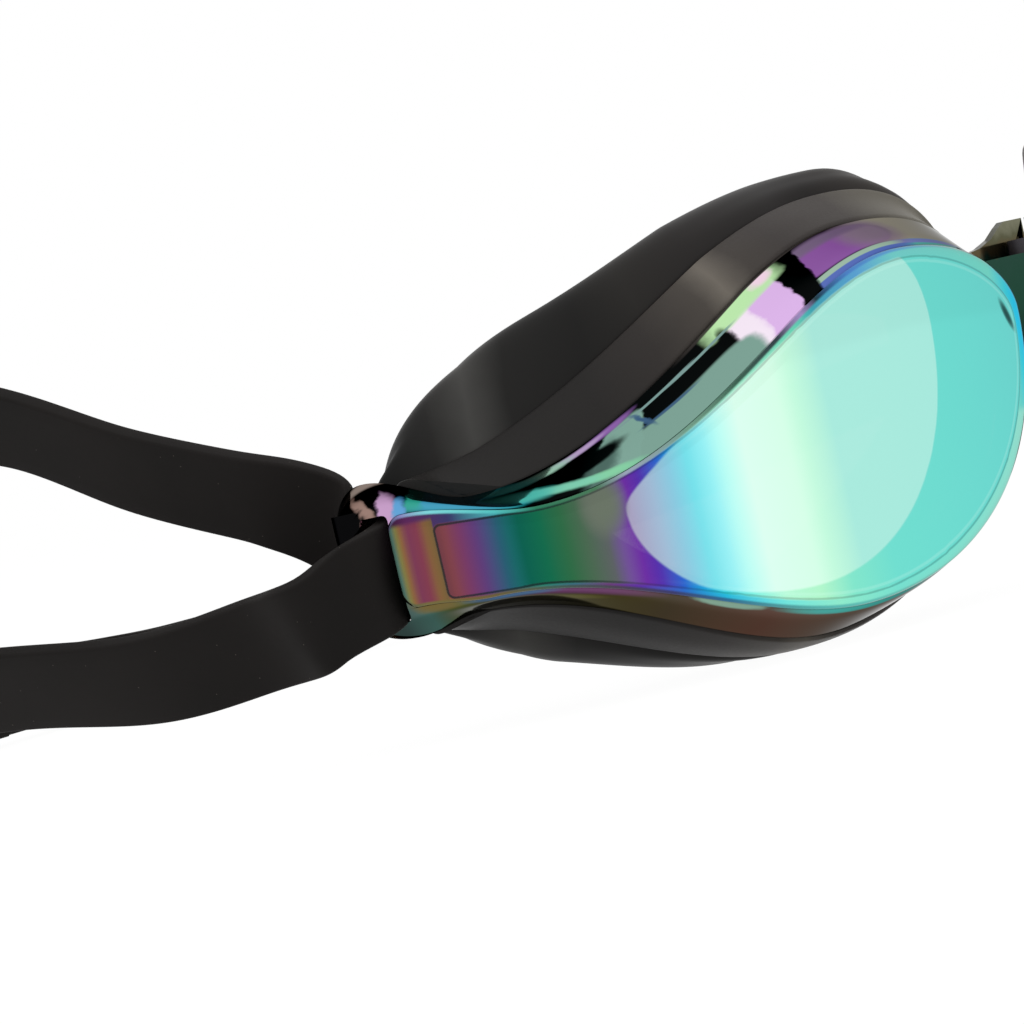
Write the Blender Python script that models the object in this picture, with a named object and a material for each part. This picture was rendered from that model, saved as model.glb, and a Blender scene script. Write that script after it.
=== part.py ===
"""Swim goggles: two mirrored lenses with seals, a clip-in nose bridge, and a two-band strap.

Frame: +Z up, the lenses face -Y and the wearer's right is at -X. X = 0 is the mirror plane of
the goggles. The origin is under the middle of the box around them, on the surface where the
two lower seal edges and the rear adjuster rest.

Each lens is drawn flat and then bent. On the flat drawing s runs along the face from the nose
to the temple, z runs up from the middle line of the arm, and d runs back from the face to the
head. The bend wraps s round FACE_ARCS as seen from above.
"""
import math
from collections import namedtuple

import bmesh
import bpy
from mathutils import Matrix, Vector

GAP = 0.0003                    # between parts that touch
OVERCUT = 0.001                 # how far a cut runs past the face it opens
SLICE = 0.0025                  # spacing of the cuts that let a flat-drawn part bend
BEND_SPAN = 0.0050              # longest stretch along s that may stay straight

# Strap, the slot that it passes through at each arm's tip, and the ears at the slot's two ends
STRAP_WIDTH = 0.0097
STRAP_THICKNESS = 0.0016
SLOT_HALF = STRAP_WIDTH / 2 + GAP
UPPER_EAR = 0.00265
LOWER_EAR = 0.00225
PANEL_INSET = 0.00075           # how far the face's end stays inside the ends of the slot

# The face seen from above: where it starts beside the nose, its heading, then its arcs
NOSE_HALF_GAP = 0.0129
FACE_SETBACK = 0.001
NOSE_HEADING = -4.0             # degrees from the line across both lenses
FACE_ARCS = ((0.036, 0.110), (0.036, 0.046), (0.020, 0.200))     # length, radius

# One edge of an outline: its height over the lens, along the arm and at the arm's tip, measured
# from the middle line of the arm; where it is highest, where the arm starts, where the end
# starts to round, and how full its nose corner and its end corner are
Edge = namedtuple("Edge", "height arm tip top_at arm_at cap_at nose_power cap_power")
Outline = namedtuple("Outline", "nose end nose_level upper lower")
Ring = namedtuple("Ring", "points depth")
MIDDLE = 0.0005
TIP_BLEND = 0.004               # shortest stretch over which the arm spreads to its tip

PANEL_TIP = SLOT_HALF - PANEL_INSET
UPPER_TIP = SLOT_HALF + UPPER_EAR
LOWER_TIP = SLOT_HALF + LOWER_EAR
BAND_TIP = UPPER_TIP - 0.0006
FACE = Outline(-0.0007, 0.0806, 0.0100,
               Edge(0.0184, 0.0024, PANEL_TIP, 0.0187, 0.0655, 0.0785, 1.70, 2.5),
               Edge(0.0141, 0.0050, PANEL_TIP, 0.0330, 0.0717, 0.0785, 1.85, 2.5))
WALL = Outline(-0.0024, 0.0865, 0.0080,
               Edge(0.0219, 0.0045, UPPER_TIP, 0.0181, 0.0722, 0.0825, 2.50, 2.3),
               Edge(0.0163, 0.0063, LOWER_TIP, 0.0335, 0.0740, 0.0800, 1.80, 2.5))
BAND = Outline(-0.0024, 0.0800, 0.0080,
               Edge(0.0219, 0.0045, BAND_TIP, 0.0181, 0.0722, 0.0780, 2.50, 2.5),
               Edge(0.0163, 0.0063, LOWER_TIP, 0.0335, 0.0740, 0.0780, 1.80, 2.5))
CREASE = Outline(-0.0040, 0.0825, 0.0090,
                 Edge(0.0256, 0.0070, 0.0070, 0.0145, 0.0850, 0.0780, 2.20, 2.6),
                 Edge(0.0174, 0.0074, 0.0074, 0.0349, 0.0848, 0.0746, 2.20, 2.6))
LIP = Outline(-0.0026, 0.0831, 0.0090,
              Edge(0.0281, 0.0173, 0.0173, 0.0125, 0.0840, 0.0594, 2.40, 2.6),
              Edge(0.0170, 0.0112, 0.0112, 0.0400, 0.0840, 0.0670, 2.10, 1.9))
EYE = Outline(0.0022, 0.0590, 0.0095,
              Edge(0.0161, 0.0012, 0.0012, 0.0187, 0.0655, 0.0430, 1.70, 2.0),
              Edge(0.0120, 0.0032, 0.0032, 0.0330, 0.0717, 0.0430, 1.85, 2.0))

# Depths behind the face: beside the nose, then over the rest of the lens
NOSE_BLEND = (-0.002, 0.022)    # stretch of s over which the nose depth gives way
EDGE_ROUND = 0.0008
LENS_PLATE = 0.0018
WALL_DEPTH = (0.0045, 0.0062)
CREASE_DEPTH = (0.0068, 0.0112)
LIP_DEPTH = (0.0100, 0.0155)
CREST_DEPTH = (0.0120, 0.0185)
ARM_FULL_DEPTH = 0.0022         # depth at which the arm has nearly its full length
ARM_FULL_END = 0.0859
FLANK_SHARE = 0.35              # the wall's outline there, from the face to the rear edge
BAND_PROUD = 0.0004
BAND_FRONT_WALL = 0.0022        # depth of the band's outer face before it turns to the crease
INNER_REAR_SHARE = 0.35         # the seal's inner rear edge, from the eye opening to the crease
LIP_THICKNESS = 0.0026
LIP_SWELL = 0.0018              # depth behind the crease at which the lip has swelled out
LIP_CURL = 0.0065               # how far the lip turns in over the eye opening
CREST_ROUND = (0.0007, 0.0014)  # how far the crest falls away outside and inside its top

# The bar in each arm's slot, and the loop of the strap round it
BAR_AT = 0.0836
BAR_DEPTH = 0.0034
BAR_RADIUS = 0.0013
BAR_SUNK = 0.0008
SLOT_START = 0.0799
LOOP_RADIUS = BAR_RADIUS + GAP + STRAP_THICKNESS / 2
STEEPEST = 0.35                 # slope up to which the band's ends stay square to its run

# Nose bridge: beads clipped in the lens sockets, and the bar between them
SOCKET_X = 0.0052
SOCKET_Y = 0.0031
SOCKET_CENTRE = (-SOCKET_X, SOCKET_Y)
BEAD_RADIUS = 0.0013
SOCKET_WALL = 0.0008
BORE_RADIUS = BEAD_RADIUS + GAP
BARREL_RADIUS = BORE_RADIUS + SOCKET_WALL
SOCKET_MOUTH = (-78.0, 48.0)    # angles between which the socket is open, degrees
LUG_BOTTOM = 0.0060
LUG_TOP = 0.0157
LUG_FLOOR = 0.0008
LUG_ROOT = 0.0045               # how far the web reaches into the lens edge
LUG_FRONT = 0.0008
LUG_REAR = FACE_SETBACK + WALL_DEPTH[0] - GAP
BRIDGE_TOP = 0.0172
BRIDGE_THICKNESS = 0.0016
BRIDGE_BOW = 0.0008
# The upright fin behind the socket: its top edge as x and z, and its front and rear
FIN_TOP = ((-0.0137, 0.0168), (-0.0107, 0.0168), (-0.0057, 0.0180), (-0.0040, 0.0193),
           (-0.0020, 0.0193))
FIN_FRONT = SOCKET_Y + BORE_RADIUS
FIN_REAR = LUG_REAR + GAP

# Rear of the strap, and the adjuster that keeps the four ends, one behind the other
REST_LEVEL = MIDDLE - CREASE.lower.height       # the table, below the middle of the arm
REAR_Y = 0.1800
STRAIGHT_HALF = 0.0300
TAIL_END = 0.0145
LAYER = STRAP_THICKNESS + GAP
ADJUSTER_WIDTH = 0.0180
ADJUSTER_WALL = 0.0014
ADJUSTER_RIM = 0.0010
CHANNEL = STRAP_WIDTH + 2 * GAP
REAR_LEVEL = REST_LEVEL + ADJUSTER_RIM + CHANNEL / 2

MATERIALS = {
    "mirror lens": ((0.20, 0.62, 0.58), 0.08, 0.75),
    "firm band": ((0.040, 0.035, 0.032), 0.45, 0.0),
    "soft seal": ((0.015, 0.014, 0.014), 0.55, 0.0),
    "strap silicone": ((0.018, 0.016, 0.017), 0.70, 0.0),
    "bridge rubber": ((0.022, 0.020, 0.022), 0.50, 0.0),
    "adjuster nylon": ((0.020, 0.020, 0.022), 0.40, 0.0),
}


def material(name):
    found = bpy.data.materials.get(name)
    if found:
        return found
    colour, roughness, metallic = MATERIALS[name]
    made = bpy.data.materials.new(name)
    made.use_nodes = True
    shader = made.node_tree.nodes["Principled BSDF"]
    shader.inputs["Base Color"].default_value = (*colour, 1.0)
    shader.inputs["Roughness"].default_value = roughness
    shader.inputs["Metallic"].default_value = metallic
    return made


def clear_scene():
    for old in list(bpy.data.objects):
        bpy.data.objects.remove(old, do_unlink=True)


def add_object(name, verts, faces, material_name=None):
    mesh = bpy.data.meshes.new(name)
    mesh.from_pydata([tuple(v) for v in verts], [], faces)
    obj = bpy.data.objects.new(name, mesh)
    bpy.context.collection.objects.link(obj)
    if material_name:
        mesh.materials.append(material(material_name))
    return obj


def boolean(obj, tool, operation):
    """Cut obj with tool, or join tool to it, and drop the tool."""
    tool.hide_render = True
    tool.display_type = "WIRE"
    step = obj.modifiers.new(operation.lower(), "BOOLEAN")
    step.operation = operation
    step.solver = "EXACT"
    step.object = tool
    graph = bpy.context.evaluated_depsgraph_get()
    result = bpy.data.meshes.new_from_object(obj.evaluated_get(graph))
    obj.modifiers.clear()
    obj.data = result
    bpy.data.objects.remove(tool, do_unlink=True)


# ---------------------------------------------------------------- the bend

def plan_point(s):
    """Point and heading on the face curve, seen from above, at s from the nose."""
    x, y, heading = -NOSE_HALF_GAP, FACE_SETBACK, math.radians(NOSE_HEADING)
    left = s
    for index, (length, radius) in enumerate(FACE_ARCS):
        last = index == len(FACE_ARCS) - 1
        run = left if last or left < length else length
        if s < 0:
            return x - s * math.cos(heading), y + s * math.sin(heading), heading
        turned = heading + run / radius
        x -= radius * (math.sin(turned) - math.sin(heading))
        y += radius * (math.cos(heading) - math.cos(turned))
        heading = turned
        left -= run
        if left <= 0:
            break
    return x, y, heading


def bend(s, z, d):
    """A point of the flat drawing, taken to its place on the wearer's right lens."""
    x, y, heading = plan_point(s)
    return Vector((x + d * math.sin(heading), y + d * math.cos(heading), z))


def bend_object(obj):
    """Slice a flat-drawn object across s, so that it can bend, and bend it."""
    shape = bmesh.new()
    shape.from_mesh(obj.data)
    low = min(v.co.x for v in shape.verts)
    high = max(v.co.x for v in shape.verts)
    for step in range(math.floor(low / SLICE) + 1, math.ceil(high / SLICE)):
        bmesh.ops.bisect_plane(shape, geom=shape.verts[:] + shape.edges[:] + shape.faces[:],
                               plane_co=(step * SLICE, 0, 0), plane_no=(1, 0, 0))
    bmesh.ops.triangulate(shape, faces=shape.faces[:])
    for vert in shape.verts:
        vert.co = bend(vert.co.x, vert.co.z, vert.co.y)
    bmesh.ops.recalc_face_normals(shape, faces=shape.faces[:])
    shape.to_mesh(obj.data)
    shape.free()


# ---------------------------------------------------------------- outlines and rings

def ease(value, low, high):
    share = min(max((value - low) / (high - low), 0.0), 1.0)
    return share * share * (3 - 2 * share)


def edge_height(s, edge, nose, end, nose_height):
    """Height of one edge over the middle line; beside the nose it starts at nose_height."""
    share = min(max((s - edge.top_at) / (edge.arm_at - edge.top_at), 0.0), 1.0)
    height = edge.height + (edge.arm - edge.height) * (1 - math.cos(math.pi * share)) / 2
    if edge.tip != edge.arm:
        spread_from = min(edge.arm_at, edge.cap_at - TIP_BLEND)
        height += (edge.tip - edge.arm) * ease(s, spread_from, edge.cap_at)
    if s < edge.top_at:
        across = (edge.top_at - s) / (edge.top_at - nose)
        share = max(1 - across ** edge.nose_power, 0.0) ** (1 / edge.nose_power)
        height = nose_height + (edge.height - nose_height) * share
    if s > edge.cap_at:
        across = (s - edge.cap_at) / (end - edge.cap_at)
        height *= max(1 - across ** edge.cap_power, 0.0) ** (1 / edge.cap_power)
    return height


def ring(outline, depth, inset=0.0, steps=32):
    """An outline as flat points (s, z) at a depth, which is a pair: beside the nose, and away."""
    nose, end, rise = outline.nose, outline.end, outline.nose_level
    upper, lower = [], []
    for step in range(steps + 1):
        share = (1 - math.cos(math.pi * step / steps)) / 2
        at = nose + (end - nose) * share
        s = nose + inset + (end - nose - 2 * inset) * share
        up = edge_height(at, outline.upper, nose, end, rise)
        down = edge_height(at, outline.lower, nose, end, -rise)
        centre = rise * (1 - ease(at, nose, outline.lower.top_at))
        up = centre + (up - centre) * (1 - inset / outline.upper.height)
        down = -centre + (down + centre) * (1 - inset / outline.lower.height)
        upper.append((s, MIDDLE + up))
        lower.append((s, MIDDLE - down))
    return Ring(upper + lower[-2:0:-1], depth)


def between(first, second, share):
    """Ring part-way from one ring to another."""
    points = [tuple(a + (b - a) * share for a, b in zip(p, q))
              for p, q in zip(first.points, second.points)]
    return Ring(points, tuple(a + (b - a) * share for a, b in zip(first.depth, second.depth)))


def flat_verts(one):
    """The ring's points on the flat drawing, as (s, d, z)."""
    beside_nose, away = one.depth
    return [Vector((s, beside_nose + (away - beside_nose) * ease(s, *NOSE_BLEND), z))
            for s, z in one.points]


def refined(rings):
    """Add rings in the long spans of a closed run of rings, so that the spans can bend."""
    fine = []
    for first, second in zip(rings, rings[1:] + rings[:1]):
        span = max(abs(p[0] - q[0]) for p, q in zip(first.points, second.points))
        count = max(1, math.ceil(span / BEND_SPAN))
        fine += [between(first, second, step / count) for step in range(count)]
    return fine


def side_faces(rings, count, closed):
    faces = []
    pairs = len(rings) if closed else len(rings) - 1
    for r in range(pairs):
        here, there = r * count, (r + 1) % len(rings) * count
        for i in range(count):
            j = (i + 1) % count
            faces.append((here + i, here + j, there + j, there + i))
    return faces


def cap_faces(start, count, flip):
    """Close a ring with a strip of faces that run straight up and down."""
    half = count // 2
    faces = [(start, start + 1, start + count - 1)]
    for i in range(1, half - 1):
        faces.append((start + i, start + i + 1, start + count - i - 1, start + count - i))
    faces.append((start + half - 1, start + half, start + half + 1))
    return [tuple(reversed(f)) for f in faces] if flip else faces


def settle(obj):
    """Make every face flat, by splitting it in triangles, and facing outward."""
    shape = bmesh.new()
    shape.from_mesh(obj.data)
    bmesh.ops.triangulate(shape, faces=shape.faces[:])
    bmesh.ops.recalc_face_normals(shape, faces=shape.faces[:])
    shape.to_mesh(obj.data)
    shape.free()


def solid_of_rings(name, rings, material_name=None):
    count = len(rings[0].points)
    verts = [v for one in rings for v in flat_verts(one)]
    faces = side_faces(rings, count, closed=False)
    faces += cap_faces(0, count, flip=False)
    faces += cap_faces(len(verts) - count, count, flip=True)
    obj = add_object(name, verts, faces, material_name)
    settle(obj)
    return obj


def hoop_of_rings(name, rings, material_name):
    """A closed band whose cross-section runs through the rings in turn."""
    rings = refined(rings)
    verts = [bend(v.x, v.z, v.y) for one in rings for v in flat_verts(one)]
    faces = side_faces(rings, len(rings[0].points), closed=True)
    obj = add_object(name, verts, faces, material_name)
    settle(obj)
    return obj


def mixed(first, second, share, end=None):
    """Outline part-way between two others."""
    def mix(a, b):
        return a + (b - a) * share
    upper = Edge(*[mix(a, b) for a, b in zip(first.upper, second.upper)])
    lower = Edge(*[mix(a, b) for a, b in zip(first.lower, second.lower)])
    return Outline(mix(first.nose, second.nose), end or mix(first.end, second.end),
                   mix(first.nose_level, second.nose_level), upper, lower)


# ---------------------------------------------------------------- plain shapes

def box(name, low, high):
    x0, y0, z0 = low
    x1, y1, z1 = high
    verts = [(x0, y0, z0), (x1, y0, z0), (x1, y1, z0), (x0, y1, z0),
             (x0, y0, z1), (x1, y0, z1), (x1, y1, z1), (x0, y1, z1)]
    faces = [(0, 3, 2, 1), (4, 5, 6, 7), (0, 1, 5, 4), (1, 2, 6, 5), (2, 3, 7, 6), (3, 0, 4, 7)]
    return add_object(name, verts, faces)


def prism(name, points, bottom, top, material_name=None):
    """Upright solid over a closed outline of (x, y) points, listed anticlockwise."""
    count = len(points)
    verts = [(x, y, bottom) for x, y in points] + [(x, y, top) for x, y in points]
    faces = [tuple(reversed(range(count))), tuple(range(count, 2 * count))]
    for i in range(count):
        j = (i + 1) % count
        faces.append((i, j, count + j, count + i))
    return add_object(name, verts, faces, material_name)


def arc(centre, radius, start, stop, steps):
    points = []
    for step in range(steps + 1):
        angle = math.radians(start + (stop - start) * step / steps)
        points.append((centre[0] + radius * math.cos(angle),
                       centre[1] + radius * math.sin(angle)))
    return points


# ---------------------------------------------------------------- lens

def lens_shell(name):
    rings = [ring(FACE, (0.0, 0.0), inset=EDGE_ROUND),
             ring(FACE, (EDGE_ROUND, EDGE_ROUND)),
             ring(mixed(FACE, WALL, FLANK_SHARE, end=ARM_FULL_END),
                  (ARM_FULL_DEPTH, ARM_FULL_DEPTH)),
             ring(WALL, WALL_DEPTH)]
    return solid_of_rings(name, rings, "mirror lens")


def eye_pocket():
    beyond = deeper(WALL_DEPTH, OVERCUT)
    return solid_of_rings("pocket", [ring(EYE, (LENS_PLATE, LENS_PLATE)), ring(EYE, beyond)])


def arm_slot():
    return box("slot", (SLOT_START, -OVERCUT, -SLOT_HALF),
               (WALL.end + OVERCUT, WALL_DEPTH[1] + OVERCUT, SLOT_HALF))


def arm_bar():
    """Round bar that the strap loops over, sunk into the ear at each end of the slot."""
    reach = SLOT_HALF + BAR_SUNK
    return prism("bar", arc((BAR_AT, BAR_DEPTH), BAR_RADIUS, 0, 337.5, 15), -reach, reach)


def nose_lug():
    """Web from the lens edge to the socket beside the nose."""
    root_x = -NOSE_HALF_GAP - LUG_ROOT
    points = [(root_x, FACE_SETBACK + LUG_FRONT)]
    points += arc(SOCKET_CENTRE, BARREL_RADIUS, -95, 110, 15) + [(root_x, LUG_REAR)]
    return prism("lug", points, LUG_BOTTOM, LUG_TOP)


def lug_fin():
    """Upright fin behind the socket, rising toward the nose."""
    root = [(FIN_TOP[0][0], LUG_BOTTOM), (FIN_TOP[-1][0], LUG_BOTTOM)]
    fin = prism("fin", root + list(reversed(FIN_TOP)), -FIN_REAR, -FIN_FRONT)
    fin.data.transform(Matrix.Rotation(math.pi / 2, 4, "X"))
    return fin


def socket_bore():
    return prism("bore", arc(SOCKET_CENTRE, BORE_RADIUS, 0, 345, 23),
                 LUG_BOTTOM + LUG_FLOOR, LUG_TOP + OVERCUT)


def socket_mouth():
    """Wedge that opens the socket toward the nose, wide enough for the bridge to swing."""
    points = [SOCKET_CENTRE, *arc(SOCKET_CENTRE, 2 * BARREL_RADIUS, *SOCKET_MOUTH, 6)]
    return prism("mouth", points, LUG_BOTTOM + LUG_FLOOR, LUG_TOP + OVERCUT)


def lens(name):
    shell = lens_shell(name)
    boolean(shell, eye_pocket(), "DIFFERENCE")
    boolean(shell, arm_slot(), "DIFFERENCE")
    boolean(shell, arm_bar(), "UNION")
    bend_object(shell)
    boolean(shell, nose_lug(), "UNION")
    boolean(shell, socket_bore(), "DIFFERENCE")
    boolean(shell, socket_mouth(), "DIFFERENCE")
    boolean(shell, lug_fin(), "UNION")
    return shell


# ---------------------------------------------------------------- seals

def deeper(depth, extra):
    return tuple(d + extra for d in depth)


def inner_rear():
    return mixed(EYE, CREASE, INNER_REAR_SHARE, end=EYE.end)


def seal_band(name):
    """Firm band behind the lens wall; it closes the gap between the arm and the eye opening."""
    front = deeper(WALL_DEPTH, GAP)
    rings = [ring(BAND, front, inset=-BAND_PROUD),
             ring(mixed(BAND, CREASE, 0.5), deeper(front, BAND_FRONT_WALL), inset=-BAND_PROUD),
             ring(CREASE, CREASE_DEPTH),
             ring(inner_rear(), CREASE_DEPTH),
             ring(EYE, front)]
    return hoop_of_rings(name, rings, "firm band")


def face_seal(name):
    """Soft lip: swells out behind the crease, then curls in to the crest that meets the face."""
    base = deeper(CREASE_DEPTH, GAP)
    outer_crest, inner_crest = [deeper(CREST_DEPTH, -fall) for fall in CREST_ROUND]
    rings = [ring(CREASE, base, inset=GAP),
             ring(mixed(CREASE, LIP, 0.75), deeper(base, LIP_SWELL)),
             ring(LIP, LIP_DEPTH),
             ring(LIP, outer_crest, inset=LIP_THICKNESS / 2),
             ring(LIP, CREST_DEPTH, inset=LIP_CURL / 2),
             ring(LIP, inner_crest, inset=LIP_CURL),
             ring(LIP, LIP_DEPTH, inset=1.5 * LIP_THICKNESS),
             ring(inner_rear(), base)]
    return hoop_of_rings(name, rings, "soft seal")


# ---------------------------------------------------------------- nose bridge

def nose_bridge(name):
    bottom = LUG_BOTTOM + LUG_FLOOR + GAP
    half = BRIDGE_THICKNESS / 2
    front, rear = [], []
    steps = 12
    for step in range(steps + 1):
        x = -SOCKET_X + 2 * SOCKET_X * step / steps
        middle = SOCKET_Y - BRIDGE_BOW * (1 - (x / SOCKET_X) ** 2) ** 2
        front.append((x, middle - half))
        rear.append((x, middle + half))
    bridge = prism(name, front + rear[::-1], bottom, BRIDGE_TOP, "bridge rubber")
    for side in (-1, 1):
        bead = arc((side * SOCKET_X, SOCKET_Y), BEAD_RADIUS, 7.5, 352.5, 23)
        boolean(bridge, prism("bead", bead, bottom, BRIDGE_TOP), "UNION")
    return bridge


# ---------------------------------------------------------------- strap

def smooth_path(points, per_span):
    """Catmull-Rom curve through points of any number of values."""
    path = []
    count = len(points)
    for i in range(count - 1):
        before = points[max(i - 1, 0)]
        after = points[min(i + 2, count - 1)]
        here, there = points[i], points[i + 1]
        for step in range(per_span):
            t = step / per_span
            path.append([0.5 * (2 * b + (c - a) * t + (2 * a - 5 * b + 4 * c - e) * t * t
                                + (3 * b - a - 3 * c + e) * t ** 3)
                         for a, b, c, e in zip(before, here, there, after)])
    path.append(list(points[-1]))
    return path


def bar_frame():
    centre = bend(BAR_AT, 0, BAR_DEPTH)
    heading = plan_point(BAR_AT)[2]
    along = Vector((-math.cos(heading), math.sin(heading), 0))
    inward = Vector((math.sin(heading), math.cos(heading), 0))
    return centre, along, inward


# Points of each strand: x, y, height, and how far the band leans outward at its top, degrees.
# The soft bands lie a little differently on the two sides; both lists are for x below zero.
OUTER_REAR = ((-0.0765, 0.1490, -0.0060, 3), (-0.0645, 0.1650, -0.0094, 1),
              (-0.0500, 0.1756, REAR_LEVEL, 0), (-0.0385, 0.1801, REAR_LEVEL, 0))
INNER_REAR = ((-0.0730, 0.1440, -0.0018, -3), (-0.0620, 0.1600, -0.0091, -1),
              (-0.0480, 0.1713, REAR_LEVEL, 0), (-0.0375, 0.1763, REAR_LEVEL, 0))
STRANDS = {
    "right": (((-0.0836, 0.0470, -0.0038, 22), (-0.0864, 0.0600, -0.0051, 29),
               (-0.0880, 0.0800, -0.0031, 36), (-0.0875, 0.1080, -0.0034, 20),
               (-0.0840, 0.1300, -0.0044, 8)),
              ((-0.0790, 0.0490, 0.0094, -27), (-0.0807, 0.0610, 0.0143, -28),
               (-0.0820, 0.0790, 0.0226, -31), (-0.0818, 0.1000, 0.0230, -16),
               (-0.0795, 0.1240, 0.0118, -8))),
    "left": (((-0.0836, 0.0470, 0.0022, 14), (-0.0864, 0.0600, 0.0046, 22),
              (-0.0880, 0.0800, 0.0040, 28), (-0.0875, 0.1080, -0.0010, 18),
              (-0.0840, 0.1300, -0.0042, 8)),
             ((-0.0790, 0.0490, 0.0092, -24), (-0.0807, 0.0610, 0.0125, -26),
              (-0.0820, 0.0790, 0.0185, -26), (-0.0818, 0.1000, 0.0180, -16),
              (-0.0795, 0.1240, 0.0090, -8)))}

# How each strand leaves the bar: distance along the arm, distance inward, height and lean. It
# stays level until it has passed the ears of the slot.
OUTER_START = ((0.0, 0.0, 0.0, 0), (0.0010, -0.0007, -0.0001, 3), (0.0030, -0.0010, -0.0017, 17),
               (0.0055, -0.0010, -0.0027, 21))
INNER_START = ((0.0, 0.0, 0.0, 0), (0.0008, 0.0023, 0.0001, -5), (0.0018, 0.0035, 0.0032, -15),
               (0.0034, 0.0036, 0.0064, -24), (0.0070, 0.0030, 0.0079, -29))


def leaving(root, along, inward, step):
    distance, depth, height, lean = step
    place = root + along * distance + inward * depth
    return (place.x, place.y, height, lean)


def band_path(side, inner_y, outer_y):
    """Centre line of a band: outer tail, outer strand, bar, inner strand, inner tail."""
    outer_strand, inner_strand = STRANDS[side]
    centre, along, inward = bar_frame()
    outer_root = centre - inward * LOOP_RADIUS
    inner_root = centre + inward * LOOP_RADIUS
    outer = [(-STRAIGHT_HALF, outer_y, REAR_LEVEL, 0), *reversed(OUTER_REAR)]
    outer += reversed(outer_strand)
    outer += [leaving(outer_root, along, inward, step) for step in reversed(OUTER_START)]
    inner = [leaving(inner_root, along, inward, step) for step in INNER_START]
    inner += [*inner_strand, *INNER_REAR, (-STRAIGHT_HALF, inner_y, REAR_LEVEL, 0)]
    loop = []
    for step in range(1, 12):
        angle = math.pi * step / 12
        point = centre - inward * LOOP_RADIUS * math.cos(angle)
        point -= along * LOOP_RADIUS * math.sin(angle)
        loop.append((point.x, point.y, 0.0, 0))
    outer_tail = [(TAIL_END, outer_y, REAR_LEVEL, 0), (0.0, outer_y, REAR_LEVEL, 0)]
    inner_tail = [(0.0, inner_y, REAR_LEVEL, 0), (TAIL_END, inner_y, REAR_LEVEL, 0)]
    return outer_tail + smooth_path(outer, 5) + loop + smooth_path(inner, 5) + inner_tail


def strap_band(name, side, inner_y, outer_y):
    """Flat band swept along its centre line, upright apart from its slope and lean."""
    path = band_path(side, inner_y, outer_y)
    verts, faces = [], []
    for i, (x, y, z, lean) in enumerate(path):
        before, after = path[max(i - 1, 0)], path[min(i + 1, len(path) - 1)]
        run = Vector((after[0] - before[0], after[1] - before[1], 0))
        run.z = max(-STEEPEST, min(STEEPEST, (after[2] - before[2]) / run.length)) * run.length
        run.normalize()
        flat = run.cross(Vector((0, 0, 1))).normalized()
        turn = Matrix.Rotation(math.radians(lean), 3, run)
        side, up = turn @ flat, turn @ flat.cross(run)
        for a, b in ((-1, -1), (1, -1), (1, 1), (-1, 1)):
            corner = side * (a * STRAP_THICKNESS / 2) + up * (b * STRAP_WIDTH / 2)
            verts.append(Vector((x, y, z)) + corner)
    for i in range(len(path) - 1):
        for k in range(4):
            m = (k + 1) % 4
            faces.append((4 * i + k, 4 * i + m, 4 * i + 4 + m, 4 * i + 4 + k))
    faces += [(3, 2, 1, 0), tuple(range(len(verts) - 4, len(verts)))]
    band = add_object(name, verts, faces, "strap silicone")
    settle(band)
    return band


# ---------------------------------------------------------------- adjuster

def adjuster(name):
    """Rear keeper: one flat channel for the four band ends."""
    depth = 2 * LAYER + GAP / 2
    half_height = CHANNEL / 2
    top = REAR_LEVEL + half_height + ADJUSTER_RIM
    half = ADJUSTER_WIDTH / 2
    body = box(name, (-half, REAR_Y - depth - ADJUSTER_WALL, REST_LEVEL),
               (half, REAR_Y + depth + ADJUSTER_WALL, top))
    body.data.materials.append(material("adjuster nylon"))
    channel = box("channel", (-half - OVERCUT, REAR_Y - depth, REAR_LEVEL - half_height),
                  (half + OVERCUT, REAR_Y + depth, REAR_LEVEL + half_height))
    boolean(body, channel, "DIFFERENCE")
    return body


# ---------------------------------------------------------------- assembly

def mirrored(obj, name):
    """Copy of a right-hand part for the wearer's left."""
    copy = obj.copy()
    copy.data = obj.data.copy()
    copy.name = name
    bpy.context.collection.objects.link(copy)
    copy.data.transform(Matrix.Diagonal((-1, 1, 1, 1)))
    copy.data.flip_normals()
    return copy


def pivot(name, x, y, parent):
    empty = bpy.data.objects.new(name, None)
    bpy.context.collection.objects.link(empty)
    empty.parent = parent
    empty.location = Vector((x, y, 0)) - pivot_place(parent)
    return empty


def pivot_place(empty):
    place = Vector((0, 0, 0))
    while empty:
        place += empty.location
        empty = empty.parent
    return place


def hang(obj, empty):
    """Give a part its pivot as origin and parent, leaving it where it is."""
    place = pivot_place(empty)
    obj.data.transform(Matrix.Translation(-place))
    obj.parent = empty


def place_frame(root, parts):
    """Put the origin under the middle of the box round all parts."""
    bpy.context.view_layer.update()
    corners = [part.matrix_world @ v.co for part in parts for v in part.data.vertices]
    low = [min(c[k] for c in corners) for k in range(3)]
    high = [max(c[k] for c in corners) for k in range(3)]
    root.location = (-(low[0] + high[0]) / 2, -(low[1] + high[1]) / 2, -low[2])


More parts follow.
